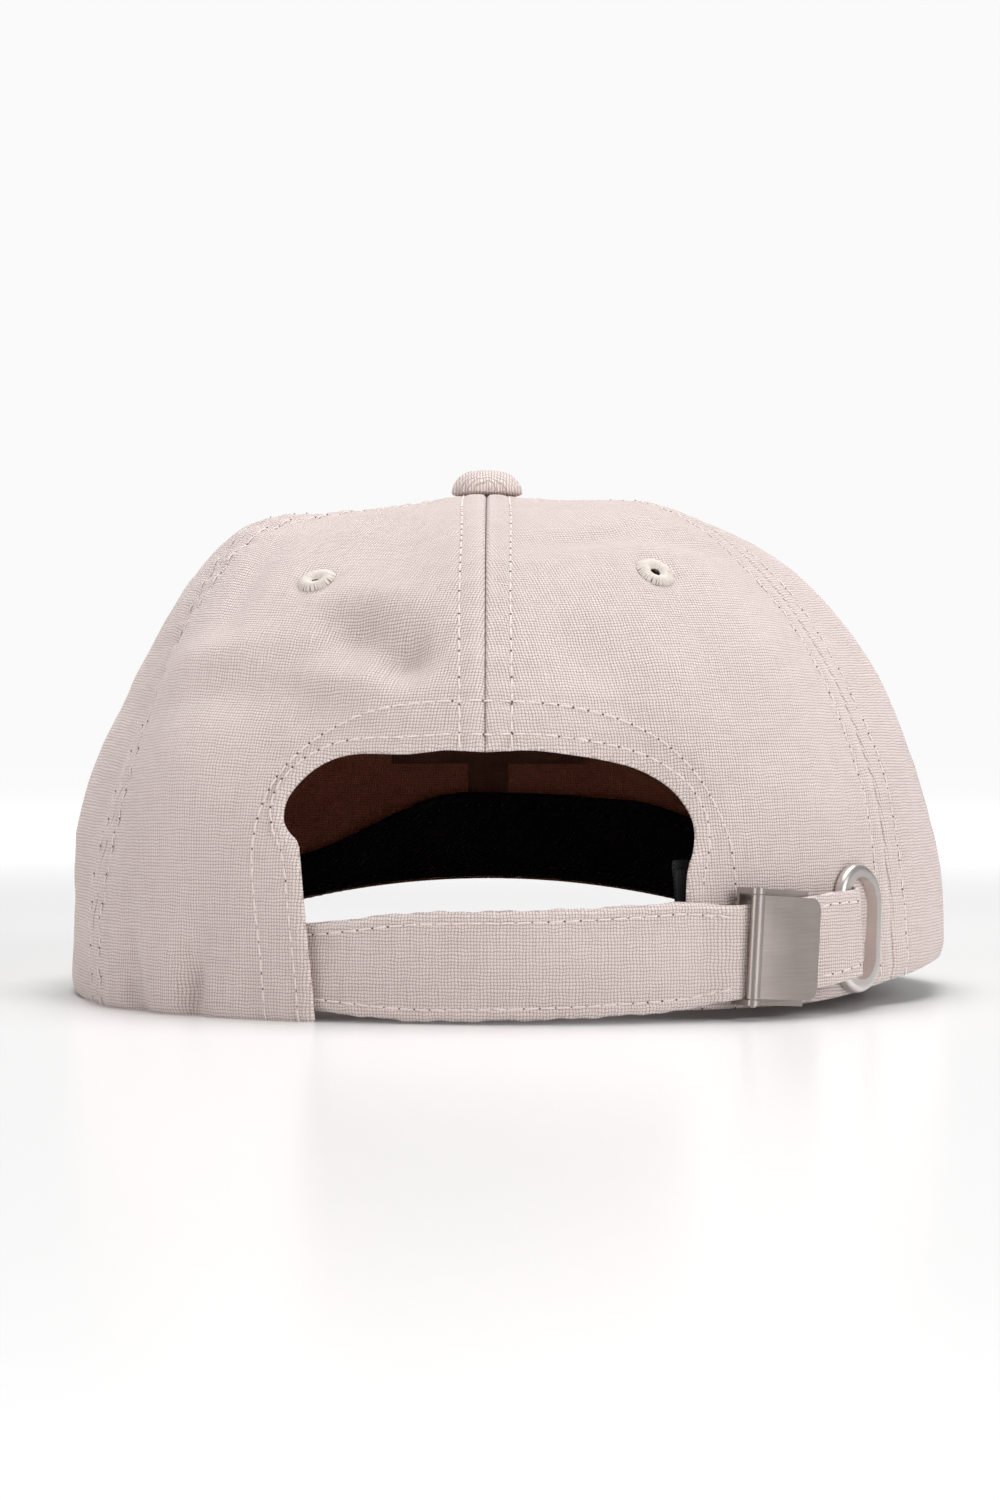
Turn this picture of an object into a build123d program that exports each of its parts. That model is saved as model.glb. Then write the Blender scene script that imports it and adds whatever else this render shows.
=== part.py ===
from build123d import *

import math
import os

# Six-panel soft baseball cap with a rear opening, a fabric strap, a flip-top clamp buckle and a
# tuck ring. Millimetres. +Z is up, the hem stands on z = 0, the bill points to +Y and the rear
# opening faces -Y. Angles round the crown start at the rear centre and grow towards +X.

# Crown: a rounded dome on an oval hem
CROWN_HALF_WIDTH = 93.0
CROWN_HALF_LENGTH = 98.5
CROWN_HEIGHT = 105.5
PLAN_POWER = 2.6
RISE_POWER = 2.5
PANEL_THICKNESS = 0.9
SEAM_GAP = 0.3
CROWN_HOLE_RADIUS = 5.5
LAYER_GAP = 0.3
HEM_TRIM_SWEEP = 0.3

# Rear opening: a wide arch over a narrower straight part that the strap crosses
ARCH_HALF_WIDTH = 39.5
ARCH_TOP = 51.0
ARCH_CORNER_RADIUS = 17.0
PLACKET_HALF_WIDTH = 35.5
PLACKET_HEIGHT = 30.0
FACING_WIDTH = 9.0
FACING_THICKNESS = 0.6
FACING_MARGIN_ANGLE = 4.5

# Tape over each seam, inside the crown
TAPE_WIDTH = 10.0
TAPE_THICKNESS = 0.5
TAPE_END_RADIUS = 7.5

# Woven backing patch inside the front panels
BACKING_WIDTH = 50.0
BACKING_THICKNESS = 0.4
BACKING_LOW = 48.0
BACKING_HIGH = 82.0

# Embroidered eyelets, one in each panel
EYELET_HEIGHT = 85.0
EYELET_RADIUS = 3.8
EYELET_HOLE_RADIUS = 1.3
EYELET_NECK_RADIUS = 2.2
EYELET_FLANGE = 0.5

# Button on top
BUTTON_RADIUS = 7.5
BUTTON_HEIGHT = 5.0
BUTTON_CLOTH = 0.8
RIVET_RADIUS = 6.0
RIVET_POST_RADIUS = 1.6
BACK_PLATE_RADIUS = 6.0
BACK_PLATE_THICKNESS = 0.8

# Bill: a board between two covers, arched across its width
BILL_HALF_WIDTH = 89.5
BILL_REACH = 68.5
BILL_OVAL_HALF_LENGTH = 95.0
BILL_CORNER_Y = 46.0
BILL_ARCH_RADIUS = 205.0
BILL_SLOPE = 0.04
BILL_CLOTH = 0.7
BOARD_THICKNESS = 1.9
BOARD_INSET = 3.0
BILL_GAP = 0.15

# Sweatband: a folded twill band with a thin pad behind it
BAND_TOP = 29.0
BAND_FRONT_RISE = 0.6
BAND_HEM_GAP = 0.8
BAND_END_OVERLAP = 2.0
PAD_THICKNESS = 0.7
TWILL_THICKNESS = 0.8
BAND_DEPTH_FRONT = 2.2
BAND_DEPTH_REAR = 4.2

# Strap
STRAP_WIDTH = 19.8
STRAP_THICKNESS = 1.1
STRAP_HEIGHT = 11.3
STRAP_CLIMB = 4.4
STRAP_ROOT_OVERLAP = 10.5
STRAP_TAIL_ANGLE = 66.0
STRAP_WIDTH_IN_BUCKLE = 17.2
STRAP_WIDTH_IN_RING = 16.4

# Buckle
BUCKLE_ANGLE = 34.5
BUCKLE_LEAN = 4.0
BUCKLE_LENGTH = 17.0
BASE_THICKNESS = 0.8
BASE_LIFT = 1.5
BASE_BAR = 2.2
TAB_THICKNESS = 0.5
TAB_WIDTH = 13.0
TAB_LENGTH = 9.0
PIN_RADIUS = 0.7
BARREL_RADIUS = 1.3
PIN_CLEARANCE = 0.05
PIN_HEAD = 0.3
LUG_THICKNESS = 1.1
LUG_CLEARANCE = 1.25
COVER_END_GAP = 0.2
COVER_THICKNESS = 0.8
COVER_CORNER_RADIUS = 2.5
COVER_BOW = 0.5
BUCKLE_CLEARANCE = 0.35

# Tuck ring that swallows the tail of the strap
RING_ANGLE = 50.5
RING_LEAN = 8.0
RING_HEIGHT = 15.8
RING_WIDTH = 15.4
RING_LENGTH = 25.0
RING_FLANGE = 2.5
RING_DOME = 2.2
RING_NECK_WALL = 0.5
RING_ROUNDING = 0.46
WASHER_THICKNESS = 0.5
RING_FIT = 0.2

# Worked out
MEAN_RADIUS = (CROWN_HALF_WIDTH + CROWN_HALF_LENGTH) / 2
PLACKET_ANGLE = math.degrees(math.asin(PLACKET_HALF_WIDTH / CROWN_HALF_WIDTH))
FACING_ANGLE = math.degrees(math.asin((ARCH_HALF_WIDTH + FACING_WIDTH) / CROWN_HALF_WIDTH))
HALF_BUCKLE_ANGLE = math.degrees(BUCKLE_LENGTH / 2 / MEAN_RADIUS)
BAND_END_ANGLE = PLACKET_ANGLE + BAND_END_OVERLAP
STRAP_ROOT_ANGLE = -PLACKET_ANGLE - STRAP_ROOT_OVERLAP
PANEL_ANGLE = 60.0
TAPE_DEPTH = PANEL_THICKNESS + LAYER_GAP
FACING_DEPTH = PANEL_THICKNESS + LAYER_GAP
STRAP_INSIDE = FACING_DEPTH + FACING_THICKNESS + LAYER_GAP
LOOP_TOP = BASE_LIFT + BASE_THICKNESS + LAYER_GAP + TAB_THICKNESS
STRAP_OVER_BASE = LOOP_TOP + LAYER_GAP
BUCKLE_INNER_HEIGHT = STRAP_WIDTH_IN_BUCKLE + 2 * LUG_CLEARANCE
BASE_HEIGHT = BUCKLE_INNER_HEIGHT + 2 * LUG_THICKNESS
PIN_LIFT = STRAP_OVER_BASE + STRAP_THICKNESS + BUCKLE_CLEARANCE + BARREL_RADIUS
RING_NECK_DEPTH = PANEL_THICKNESS + LAYER_GAP + WASHER_THICKNESS + 0.2
BILL_OVAL_CENTRE = CROWN_HALF_LENGTH + BILL_REACH - BILL_OVAL_HALF_LENGTH

PANEL_NAMES = {
    "rear_right": 30.0,
    "side_right": 90.0,
    "front_right": 150.0,
    "front_left": 210.0,
    "side_left": 270.0,
    "rear_left": 330.0,
}
SEAM_NAMES = {
    "rear": 0.0,
    "rear_right": 60.0,
    "front_right": 120.0,
    "front": 180.0,
    "front_left": 240.0,
    "rear_left": 300.0,
}


def smooth(value, start, end):
    """Ease from 0 at start to 1 at end."""
    t = min(max((value - start) / (end - start), 0.0), 1.0)
    return t * t * (3 - 2 * t)


def spread(start, end, count):
    """Evenly spaced values from start to end."""
    return [start + (end - start) * i / (count - 1) for i in range(count)]


def from_rear(angle):
    """Degrees away from the rear centre, 0 to 180, on either side."""
    return abs((angle + 180.0) % 360.0 - 180.0)


def crown_point(angle, sweep, depth):
    """Point of the dome: sweep is 0 at the hem plane and 90 at the top, depth goes inward. A
    sweep below 0 lies under the hem plane."""
    turn = math.radians(angle)
    reach = math.cos(math.radians(sweep)) ** (2 / PLAN_POWER)
    rise = abs(math.sin(math.radians(sweep))) ** (2 / RISE_POWER)
    rise = math.copysign(rise, sweep)
    x = (CROWN_HALF_WIDTH - depth) * reach * math.sin(turn)
    y = -(CROWN_HALF_LENGTH - depth) * reach * math.cos(turn)
    return Vector(x, y, (CROWN_HEIGHT - depth) * rise)


def sweep_at_height(height):
    share = min(max(height / CROWN_HEIGHT, 0.0), 1.0)
    return math.degrees(math.asin(share ** (RISE_POWER / 2)))


def sweep_at_radius(radius):
    return math.degrees(math.acos((radius / MEAN_RADIUS) ** (PLAN_POWER / 2)))


def radius_at_sweep(sweep):
    return MEAN_RADIUS * math.cos(math.radians(sweep)) ** (2 / PLAN_POWER)


def arch_drop(x):
    """How far the arched bill falls at a distance x from its middle."""
    return BILL_ARCH_RADIUS - math.sqrt(BILL_ARCH_RADIUS**2 - x**2)


def bill_rise():
    """Height of the underside of the bill at the front of the hem, its sides on the table."""
    return arch_drop(BILL_HALF_WIDTH) - BILL_SLOPE * (CROWN_HALF_LENGTH - BILL_OVAL_CENTRE)


def bill_underside(x, y):
    return bill_rise() + BILL_SLOPE * (CROWN_HALF_LENGTH - y) - arch_drop(x)


def hem_height(angle):
    """The hem lies on the table at the rear and sides, and climbs the bill at the front."""
    edge = crown_point(angle, 0.0, 0.0)
    share = smooth(from_rear(angle), 75.0, 110.0)
    return share * max(bill_underside(edge.X, edge.Y), 0.0)


def local_plane(angle, height, lift):
    """Plane that faces outward from the wall: X along the wall, Y up, lift out of it."""
    turn = math.radians(angle)
    along = Vector(CROWN_HALF_WIDTH * math.cos(turn), CROWN_HALF_LENGTH * math.sin(turn), 0)
    along = along.normalized()
    outward = Vector(along.Y, -along.X, 0)
    base = crown_point(angle, sweep_at_height(height), 0.0)
    return Plane(origin=base + outward * lift, x_dir=along, z_dir=outward)


def surface_plane(angle, height):
    """Plane that touches the dome, with its normal outward."""
    sweep = sweep_at_height(height)
    here = crown_point(angle, sweep, 0.0)
    along = crown_point(angle + 0.5, sweep, 0.0) - here
    upward = crown_point(angle, sweep + 0.5, 0.0) - here
    return Plane(origin=here, x_dir=along.normalized(), z_dir=along.cross(upward).normalized())


def skin(outer_points, inner_points):
    """Closed sheet between two grids of points."""
    outer = Face.make_surface_from_array_of_points(outer_points, tol=0.002)
    inner = Face.make_surface_from_array_of_points(inner_points, tol=0.002)
    pairs = zip(outer.edges(), inner.edges())
    sides = [Face.make_surface_from_curves(one, other) for one, other in pairs]
    return Solid(Shell([outer, inner, *sides]))


def crown_sheet(span, low, high, depth, thickness, columns=15, rows=19):
    """Sheet that follows the dome. span(sweep) gives its two side angles, low(angle) and
    high(angle) its end sweeps, and depth(angle) how far inside the outer surface it lies."""
    outer = []
    inner = []
    for across in spread(0.0, 1.0, columns):
        outer_line = []
        inner_line = []
        middle = sum(span(45.0)) / 2
        for up in spread(0.0, 1.0, rows):
            start, end = span(low(middle) + (high(middle) - low(middle)) * up)
            angle = start + (end - start) * across
            sweep = low(angle) + (high(angle) - low(angle)) * up
            outer_line.append(crown_point(angle, sweep, depth(angle)))
            inner_line.append(crown_point(angle, sweep, depth(angle) + thickness))
        outer.append(outer_line)
        inner.append(inner_line)
    return skin(outer, inner)


def strip_span(middle, width, end_gap):
    """Side angles of a strip of constant width that narrows to a point near the top."""

    def span(sweep):
        half = math.degrees(width / 2 / radius_at_sweep(sweep))
        half = min(half, PANEL_ANGLE / 2 - end_gap)
        return middle - half, middle + half

    return span


def opening_outline(grow):
    """Outline of the rear opening, seen from the rear, larger all round by grow."""
    top = ARCH_TOP + grow
    wide = 2 * (ARCH_HALF_WIDTH + grow)
    narrow = 2 * (PLACKET_HALF_WIDTH + grow)
    foot = -5.0
    shoulder = PLACKET_HEIGHT - grow
    arch = Pos(0, (shoulder + top) / 2) * Rectangle(wide, top - shoulder)
    radius = ARCH_CORNER_RADIUS + grow / 2
    arch = fillet(arch.vertices().group_by(Axis.Y)[-1], radius)
    legs = Pos(0, (foot + PLACKET_HEIGHT) / 2) * Rectangle(narrow, PLACKET_HEIGHT - foot)
    return arch + legs


def opening_cutter(grow):
    outline = Plane.XZ * opening_outline(grow)
    return extrude(outline, amount=CROWN_HALF_LENGTH + 20.0)


def oval(grow):
    """Plan of the hole in the tuck ring, straight-sided with round ends, larger by grow."""
    width = RING_WIDTH - 2 * RING_FLANGE
    length = RING_LENGTH - 2 * RING_FLANGE
    return Rot(Z=90) * SlotOverall(length + 2 * grow, width + 2 * grow)


def ring_plane():
    return surface_plane(RING_ANGLE, RING_HEIGHT) * Rot(Z=-RING_LEAN)


def ring_prism(grow):
    """Oval block that runs through the wall where the ring sits."""
    return extrude(ring_plane() * oval(grow), amount=6.0, both=True)


def make_panel(middle):
    def span(sweep):
        inset = math.degrees(SEAM_GAP / 2 / radius_at_sweep(sweep))
        return middle - PANEL_ANGLE / 2 + inset, middle + PANEL_ANGLE / 2 - inset

    rear = from_rear(middle) < PANEL_ANGLE
    panel = crown_sheet(
        span,
        lambda angle: -HEM_TRIM_SWEEP if rear else sweep_at_height(hem_height(angle)),
        lambda angle: sweep_at_radius(CROWN_HOLE_RADIUS),
        lambda angle: 0.0,
        PANEL_THICKNESS,
    )
    eyelet = surface_plane(middle, EYELET_HEIGHT)
    hole = Circle(EYELET_NECK_RADIUS + RING_FIT)
    panel -= extrude(eyelet * hole, amount=4.0, both=True)
    if rear:
        panel -= opening_cutter(0.0)
        panel -= Box(4 * CROWN_HALF_WIDTH, 4 * CROWN_HALF_LENGTH, CROWN_HEIGHT,
                     align=(Align.CENTER, Align.CENTER, Align.MAX))
    if middle == PANEL_NAMES["rear_right"]:
        panel -= ring_prism(RING_NECK_WALL + RING_FIT)
    return panel


def make_tape(middle):
    span = strip_span(middle, TAPE_WIDTH, 2.0)
    foot = hem_height(middle) + BAND_HEM_GAP
    if middle == SEAM_NAMES["rear"]:
        foot = ARCH_TOP + FACING_WIDTH + LAYER_GAP + TAPE_DEPTH
    return crown_sheet(
        span,
        lambda angle: sweep_at_height(foot),
        lambda angle: sweep_at_radius(TAPE_END_RADIUS),
        lambda angle: TAPE_DEPTH,
        TAPE_THICKNESS,
        columns=5,
    )


def make_backing():
    front = SEAM_NAMES["front"]
    return crown_sheet(
        strip_span(front, BACKING_WIDTH, 0.0),
        lambda angle: sweep_at_height(BACKING_LOW),
        lambda angle: sweep_at_height(BACKING_HIGH),
        lambda angle: TAPE_DEPTH + TAPE_THICKNESS + LAYER_GAP,
        BACKING_THICKNESS,
    )


def make_facing():
    """Binding sewn round the rear arch, inside the rear panels."""
    edge = FACING_ANGLE + FACING_MARGIN_ANGLE
    sheet = crown_sheet(
        lambda sweep: (-edge, edge),
        lambda angle: 0.0,
        lambda angle: sweep_at_height(ARCH_TOP + 2 * FACING_WIDTH),
        lambda angle: FACING_DEPTH,
        FACING_THICKNESS,
    )
    return (sheet & opening_cutter(FACING_WIDTH)) - opening_cutter(0.0)


def make_eyelet(middle):
    """Ring of satin stitch: a flange on each face of the panel and a neck through it."""
    plane = surface_plane(middle, EYELET_HEIGHT)
    outer_face = LAYER_GAP
    inner_face = -PANEL_THICKNESS - LAYER_GAP
    hole = EYELET_HOLE_RADIUS
    section = Polyline(
        (hole, inner_face - EYELET_FLANGE),
        (EYELET_RADIUS, inner_face - EYELET_FLANGE / 2),
        (EYELET_RADIUS, inner_face),
        (EYELET_NECK_RADIUS, inner_face),
        (EYELET_NECK_RADIUS, outer_face),
        (EYELET_RADIUS, outer_face),
        (EYELET_RADIUS, outer_face + EYELET_FLANGE / 2),
        (hole, outer_face + EYELET_FLANGE),
        close=True,
    )
    ring = revolve(Plane.XZ * make_face(section), axis=Axis.Z)
    return plane * ring


def button_dome(radius, height):
    """Low dome with a rounded rim, its flat foot on z = 0."""
    rim = height * 0.35
    outline = Line((0, 0), (radius, 0)) + Line((radius, 0), (radius, rim))
    outline += Spline((radius, rim), (radius * 0.62, height * 0.86), (0, height),
                      tangents=((0, 1), (-1, 0)))
    outline += Line((0, height), (0, 0))
    return revolve(Plane.XZ * make_face(outline), axis=Axis.Z)


def make_button():
    """Cloth-covered dome, the metal rivet inside it and the plate that clenches it inside."""
    foot = CROWN_HEIGHT + LAYER_GAP / 2
    inner = button_dome(BUTTON_RADIUS - BUTTON_CLOTH, BUTTON_HEIGHT - BUTTON_CLOTH)
    cloth = button_dome(BUTTON_RADIUS, BUTTON_HEIGHT) - inner
    rim = Cylinder(BUTTON_RADIUS - BUTTON_CLOTH, BUTTON_CLOTH / 2,
                   align=(Align.CENTER, Align.CENTER, Align.MIN))
    rim -= Cylinder(RIVET_POST_RADIUS + LAYER_GAP, BUTTON_CLOTH)
    cloth = Pos(0, 0, foot) * (cloth + rim)

    gap = LAYER_GAP / 2
    dome_lift = BUTTON_CLOTH / 2 + gap
    dome = button_dome(RIVET_RADIUS, BUTTON_HEIGHT - BUTTON_CLOTH - dome_lift - gap)
    plate_top = CROWN_HEIGHT - TAPE_DEPTH - TAPE_THICKNESS - LAYER_GAP
    plate = Pos(0, 0, plate_top) * Cylinder(
        BACK_PLATE_RADIUS, BACK_PLATE_THICKNESS, align=(Align.CENTER, Align.CENTER, Align.MAX)
    )
    post_foot = plate_top - BACK_PLATE_THICKNESS - 0.5
    post_top = foot + dome_lift + 0.5
    post = Pos(0, 0, post_foot) * Cylinder(
        RIVET_POST_RADIUS, post_top - post_foot, align=(Align.CENTER, Align.CENTER, Align.MIN)
    )
    rivet = Pos(0, 0, foot + dome_lift) * dome + post
    plate -= Pos(0, 0, plate_top) * Cylinder(RIVET_POST_RADIUS + 0.05, 4.0)
    return {"button_cover": cloth, "button_rivet": rivet, "button_back_plate": plate}


def bill_outline(inset):
    """Plan of the bill: a crescent between an oval front edge and the oval of the hem."""
    front = Ellipse(BILL_HALF_WIDTH - inset, BILL_OVAL_HALF_LENGTH - inset)
    front = Pos(0, BILL_OVAL_CENTRE) * front
    back = Ellipse(CROWN_HALF_WIDTH + LAYER_GAP, CROWN_HALF_LENGTH + LAYER_GAP)
    rear = Rectangle(4 * CROWN_HALF_WIDTH, 4 * CROWN_HALF_LENGTH,
                     align=(Align.CENTER, Align.MAX))
    return front - back - Pos(0, BILL_CORNER_Y + inset) * rear


def bill_layer(low, high, inset):
    """Arched layer between two heights above the underside of the bill."""
    tilt = Rot(X=-math.degrees(math.atan(BILL_SLOPE)))
    centre_z = bill_rise() - BILL_ARCH_RADIUS
    place = Pos(0, CROWN_HALF_LENGTH, centre_z) * tilt
    length = 4 * CROWN_HALF_LENGTH
    shell = Rot(X=90) * Cylinder(BILL_ARCH_RADIUS + high, length)
    shell -= Rot(X=90) * Cylinder(BILL_ARCH_RADIUS + low, length)
    column = Pos(0, 0, -40) * extrude(bill_outline(inset), amount=120.0)
    return (place * shell) & column


def make_bill():
    """Board sealed between an under cover and a top cover that is turned down at the edge."""
    board_low = BILL_CLOTH + BILL_GAP
    board_high = board_low + BOARD_THICKNESS
    top_low = board_high + BILL_GAP
    edge_inset = BOARD_INSET - BILL_GAP
    top = bill_layer(top_low, top_low + BILL_CLOTH, 0.0)
    edge = bill_layer(board_low, top_low, 0.0)
    edge -= bill_layer(board_low, top_low, edge_inset)
    return {
        "bill_under_cover": bill_layer(0.0, BILL_CLOTH, 0.0),
        "bill_board": bill_layer(board_low, board_high, BOARD_INSET),
        "bill_top_cover": top + edge,
    }


def band_depth(angle):
    """The sweatband stands off the wall at the rear, where the ends of the strap lie behind it."""
    away = from_rear(angle)
    return BAND_DEPTH_REAR + (BAND_DEPTH_FRONT - BAND_DEPTH_REAR) * smooth(away, 74.0, 96.0)


def make_band(extra_depth, thickness, top_inset):
    return crown_sheet(
        lambda sweep: (BAND_END_ANGLE, 360.0 - BAND_END_ANGLE),
        lambda angle: sweep_at_height(hem_height(angle) + BAND_HEM_GAP),
        lambda angle: sweep_at_height(
            BAND_TOP - top_inset + BAND_FRONT_RISE * hem_height(angle)
        ),
        lambda angle: band_depth(angle) + extra_depth,
        thickness,
        columns=61,
        rows=7,
    )


def strap_height(angle):
    """Height of the strap's centre line, which climbs towards the ring."""
    return STRAP_HEIGHT + STRAP_CLIMB * (max(angle, 0.0) / RING_ANGLE) ** 2


def strap_width(angle):
    """The strap is gathered where it goes through the buckle, and more in the ring."""
    in_buckle = smooth(angle, PLACKET_ANGLE, BUCKLE_ANGLE - HALF_BUCKLE_ANGLE)
    in_ring = smooth(angle, RING_ANGLE - 7.5, RING_ANGLE - 3.0)
    width = STRAP_WIDTH + (STRAP_WIDTH_IN_BUCKLE - STRAP_WIDTH) * in_buckle
    return width + (STRAP_WIDTH_IN_RING - STRAP_WIDTH_IN_BUCKLE) * in_ring


def strap_lift(angle):
    """Height of the strap's inner face over the wall: inside on the left, over the buckle base
    and one leg of the ring on the right, then in through the ring."""
    inside = -STRAP_INSIDE - STRAP_THICKNESS
    over_ring = RING_DOME + 4 * LAYER_GAP
    wall_bend = BUCKLE_LENGTH**2 / 8 / MEAN_RADIUS
    half_ring = math.degrees(RING_WIDTH / 2 / MEAN_RADIUS)
    half_hole = math.degrees((RING_WIDTH / 2 - RING_FLANGE) / MEAN_RADIUS)
    tail = -RING_NECK_DEPTH - LAYER_GAP - 0.1 - STRAP_THICKNESS
    stations = [
        (STRAP_ROOT_ANGLE, inside),
        (-PLACKET_ANGLE, inside),
        (PLACKET_ANGLE - 1.5, LAYER_GAP + 0.1),
        (PLACKET_ANGLE + 2.5, LAYER_GAP + 0.4),
        (BUCKLE_ANGLE - HALF_BUCKLE_ANGLE, STRAP_OVER_BASE + wall_bend),
        (BUCKLE_ANGLE, STRAP_OVER_BASE),
        (BUCKLE_ANGLE + HALF_BUCKLE_ANGLE, STRAP_OVER_BASE + wall_bend),
        (RING_ANGLE - half_ring, over_ring + 0.1),
        (RING_ANGLE - 0.8 * half_hole, over_ring),
        (RING_ANGLE + 0.55 * half_hole, tail),
        (STRAP_TAIL_ANGLE, tail),
    ]
    for (start, low), (end, high) in zip(stations, stations[1:]):
        if angle <= end:
            return low + (high - low) * smooth(angle, start, end)
    return tail


def strap_point(angle, height, depth):
    """Point on the strap, which stands upright on the flat buckle and follows the wall beyond."""
    start = BUCKLE_ANGLE - HALF_BUCKLE_ANGLE
    end = BUCKLE_ANGLE + HALF_BUCKLE_ANGLE
    upright = smooth(angle, start - 7.0, start) - smooth(angle, end, end + 4.0)
    level = height + upright * (strap_height(angle) - height)
    wall = crown_point(angle, sweep_at_height(level), depth)
    return Vector(wall.X, wall.Y, height)


def make_strap():
    outer = []
    inner = []
    for angle in spread(STRAP_ROOT_ANGLE, STRAP_TAIL_ANGLE, 91):
        outer_line = []
        inner_line = []
        for share in (-0.5, -0.25, 0.0, 0.25, 0.5):
            height = strap_height(angle) + share * strap_width(angle)
            lift = strap_lift(angle)
            outer_line.append(strap_point(angle, height, -lift - STRAP_THICKNESS))
            inner_line.append(strap_point(angle, height, -lift))
        outer.append(outer_line)
        inner.append(inner_line)
    return skin(outer, inner)


def buckle_plane():
    plane = local_plane(BUCKLE_ANGLE, strap_height(BUCKLE_ANGLE), 0.0)
    return plane * Rot(Z=-BUCKLE_LEAN)


def hinge_x():
    """Place of the hinge along the wall, at the end of the base nearest the opening."""
    return -BUCKLE_LENGTH / 2 + BARREL_RADIUS


def make_buckle_base():
    """Frame with three bars, and a lug above and below the strap that carries the pin."""
    frame = Rectangle(BUCKLE_LENGTH, BASE_HEIGHT)
    window = (BUCKLE_LENGTH - 3 * BASE_BAR) / 2
    window_x = (window + BASE_BAR) / 2
    for side in (-1, 1):
        frame -= Pos(side * window_x, 0) * Rectangle(window, BASE_HEIGHT - 2 * BASE_BAR)
    base = Pos(0, 0, BASE_LIFT) * extrude(frame, amount=BASE_THICKNESS)
    lug_top = PIN_LIFT + BARREL_RADIUS
    inner_face = BUCKLE_INNER_HEIGHT / 2
    for side in (-1, 1):
        middle = side * (inner_face + LUG_THICKNESS / 2)
        foot = Pos(hinge_x(), middle, BASE_LIFT)
        lug = foot * Box(2 * BARREL_RADIUS, LUG_THICKNESS, PIN_LIFT - BASE_LIFT,
                         align=(Align.CENTER, Align.CENTER, Align.MIN))
        head = Pos(hinge_x(), middle, PIN_LIFT) * Rot(X=90) * Cylinder(
            BARREL_RADIUS, LUG_THICKNESS
        )
        base += lug + head
    bore = Rot(X=90) * Cylinder(PIN_RADIUS + 0.02, 2 * BASE_HEIGHT)
    base -= Pos(hinge_x(), 0, PIN_LIFT) * bore
    return buckle_plane() * base


def make_buckle_pin():
    length = BASE_HEIGHT + 2 * PIN_HEAD
    pin = Pos(hinge_x(), 0, PIN_LIFT) * Rot(X=90) * Cylinder(PIN_RADIUS, length)
    return buckle_plane() * pin


def make_buckle_cover():
    """Slightly bowed plate whose edge is rolled round the pin."""
    plate_low = STRAP_OVER_BASE + STRAP_THICKNESS + BUCKLE_CLEARANCE
    tip = BUCKLE_LENGTH / 2 + 0.5
    height = BUCKLE_INNER_HEIGHT - 2 * COVER_END_GAP
    bow = COVER_BOW
    middle = (hinge_x() + tip) / 2
    low_edge = ThreePointArc((hinge_x(), plate_low), (middle, plate_low + bow), (tip, plate_low))
    high_edge = ThreePointArc(
        (hinge_x(), plate_low + COVER_THICKNESS),
        (middle, plate_low + COVER_THICKNESS + bow),
        (tip, plate_low + COVER_THICKNESS),
    )
    ends = Line(low_edge @ 0, high_edge @ 0) + Line(low_edge @ 1, high_edge @ 1)
    section = make_face(low_edge + high_edge + ends)
    section += Pos(hinge_x(), PIN_LIFT) * Circle(BARREL_RADIUS)
    section -= Pos(hinge_x(), PIN_LIFT) * Circle(PIN_RADIUS + PIN_CLEARANCE)
    cover = extrude(Plane.XZ * section, amount=height / 2, both=True)
    trim = Pos(tip / 2 - 10, 0) * Rectangle(tip + 20, height)
    trim = fillet(trim.vertices().group_by(Axis.X)[-1], COVER_CORNER_RADIUS)
    cover &= extrude(trim, amount=40.0, both=True)
    return buckle_plane() * cover


def make_buckle_tab():
    """Cloth loop round the middle bar of the base, sewn flat to the panel beyond it."""
    gap = 0.2
    inner_width = BASE_BAR + 2 * gap
    inner_low = BASE_LIFT - gap
    inner_high = BASE_LIFT + BASE_THICKNESS + gap
    outer_low = inner_low - TAB_THICKNESS
    loop = Pos(0, (inner_low + inner_high) / 2) * Rectangle(
        inner_width + 2 * TAB_THICKNESS, inner_high - inner_low + 2 * TAB_THICKNESS
    )
    loop -= Pos(0, (inner_low + inner_high) / 2) * Rectangle(inner_width, inner_high - inner_low)
    leg = Pos(inner_width / 2, outer_low) * Rectangle(
        TAB_LENGTH, TAB_THICKNESS, align=(Align.MIN, Align.MIN)
    )
    tab = extrude(Plane.XZ * (loop + leg), amount=TAB_WIDTH / 2, both=True)
    return buckle_plane() * tab


def make_ring():
    """Domed oval flange with a neck that goes through the panel."""
    foot = LAYER_GAP
    flange = extrude(oval(RING_FLANGE), amount=RING_DOME - foot)
    flange = fillet(flange.edges().group_by(Axis.Z)[-1], RING_FLANGE * RING_ROUNDING)
    neck = extrude(oval(RING_NECK_WALL), amount=foot + RING_NECK_DEPTH)
    ring = Pos(0, 0, foot) * flange + Pos(0, 0, -RING_NECK_DEPTH) * neck
    return ring_plane() * ring - ring_prism(0.0)


def make_washer():
    """Oval washer bent to the wall, that the neck is clenched over inside the panel."""
    reach = math.degrees(RING_WIDTH / MEAN_RADIUS)
    sheet = crown_sheet(
        lambda sweep: (RING_ANGLE - reach, RING_ANGLE + reach),
        lambda angle: sweep_at_height(RING_HEIGHT - 0.6 * RING_LENGTH),
        lambda angle: sweep_at_height(RING_HEIGHT + 0.6 * RING_LENGTH),
        lambda angle: PANEL_THICKNESS + LAYER_GAP,
        WASHER_THICKNESS,
    )
    return (sheet & ring_prism(RING_FLANGE - 0.4)) - ring_prism(RING_NECK_WALL + RING_FIT / 2)


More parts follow.
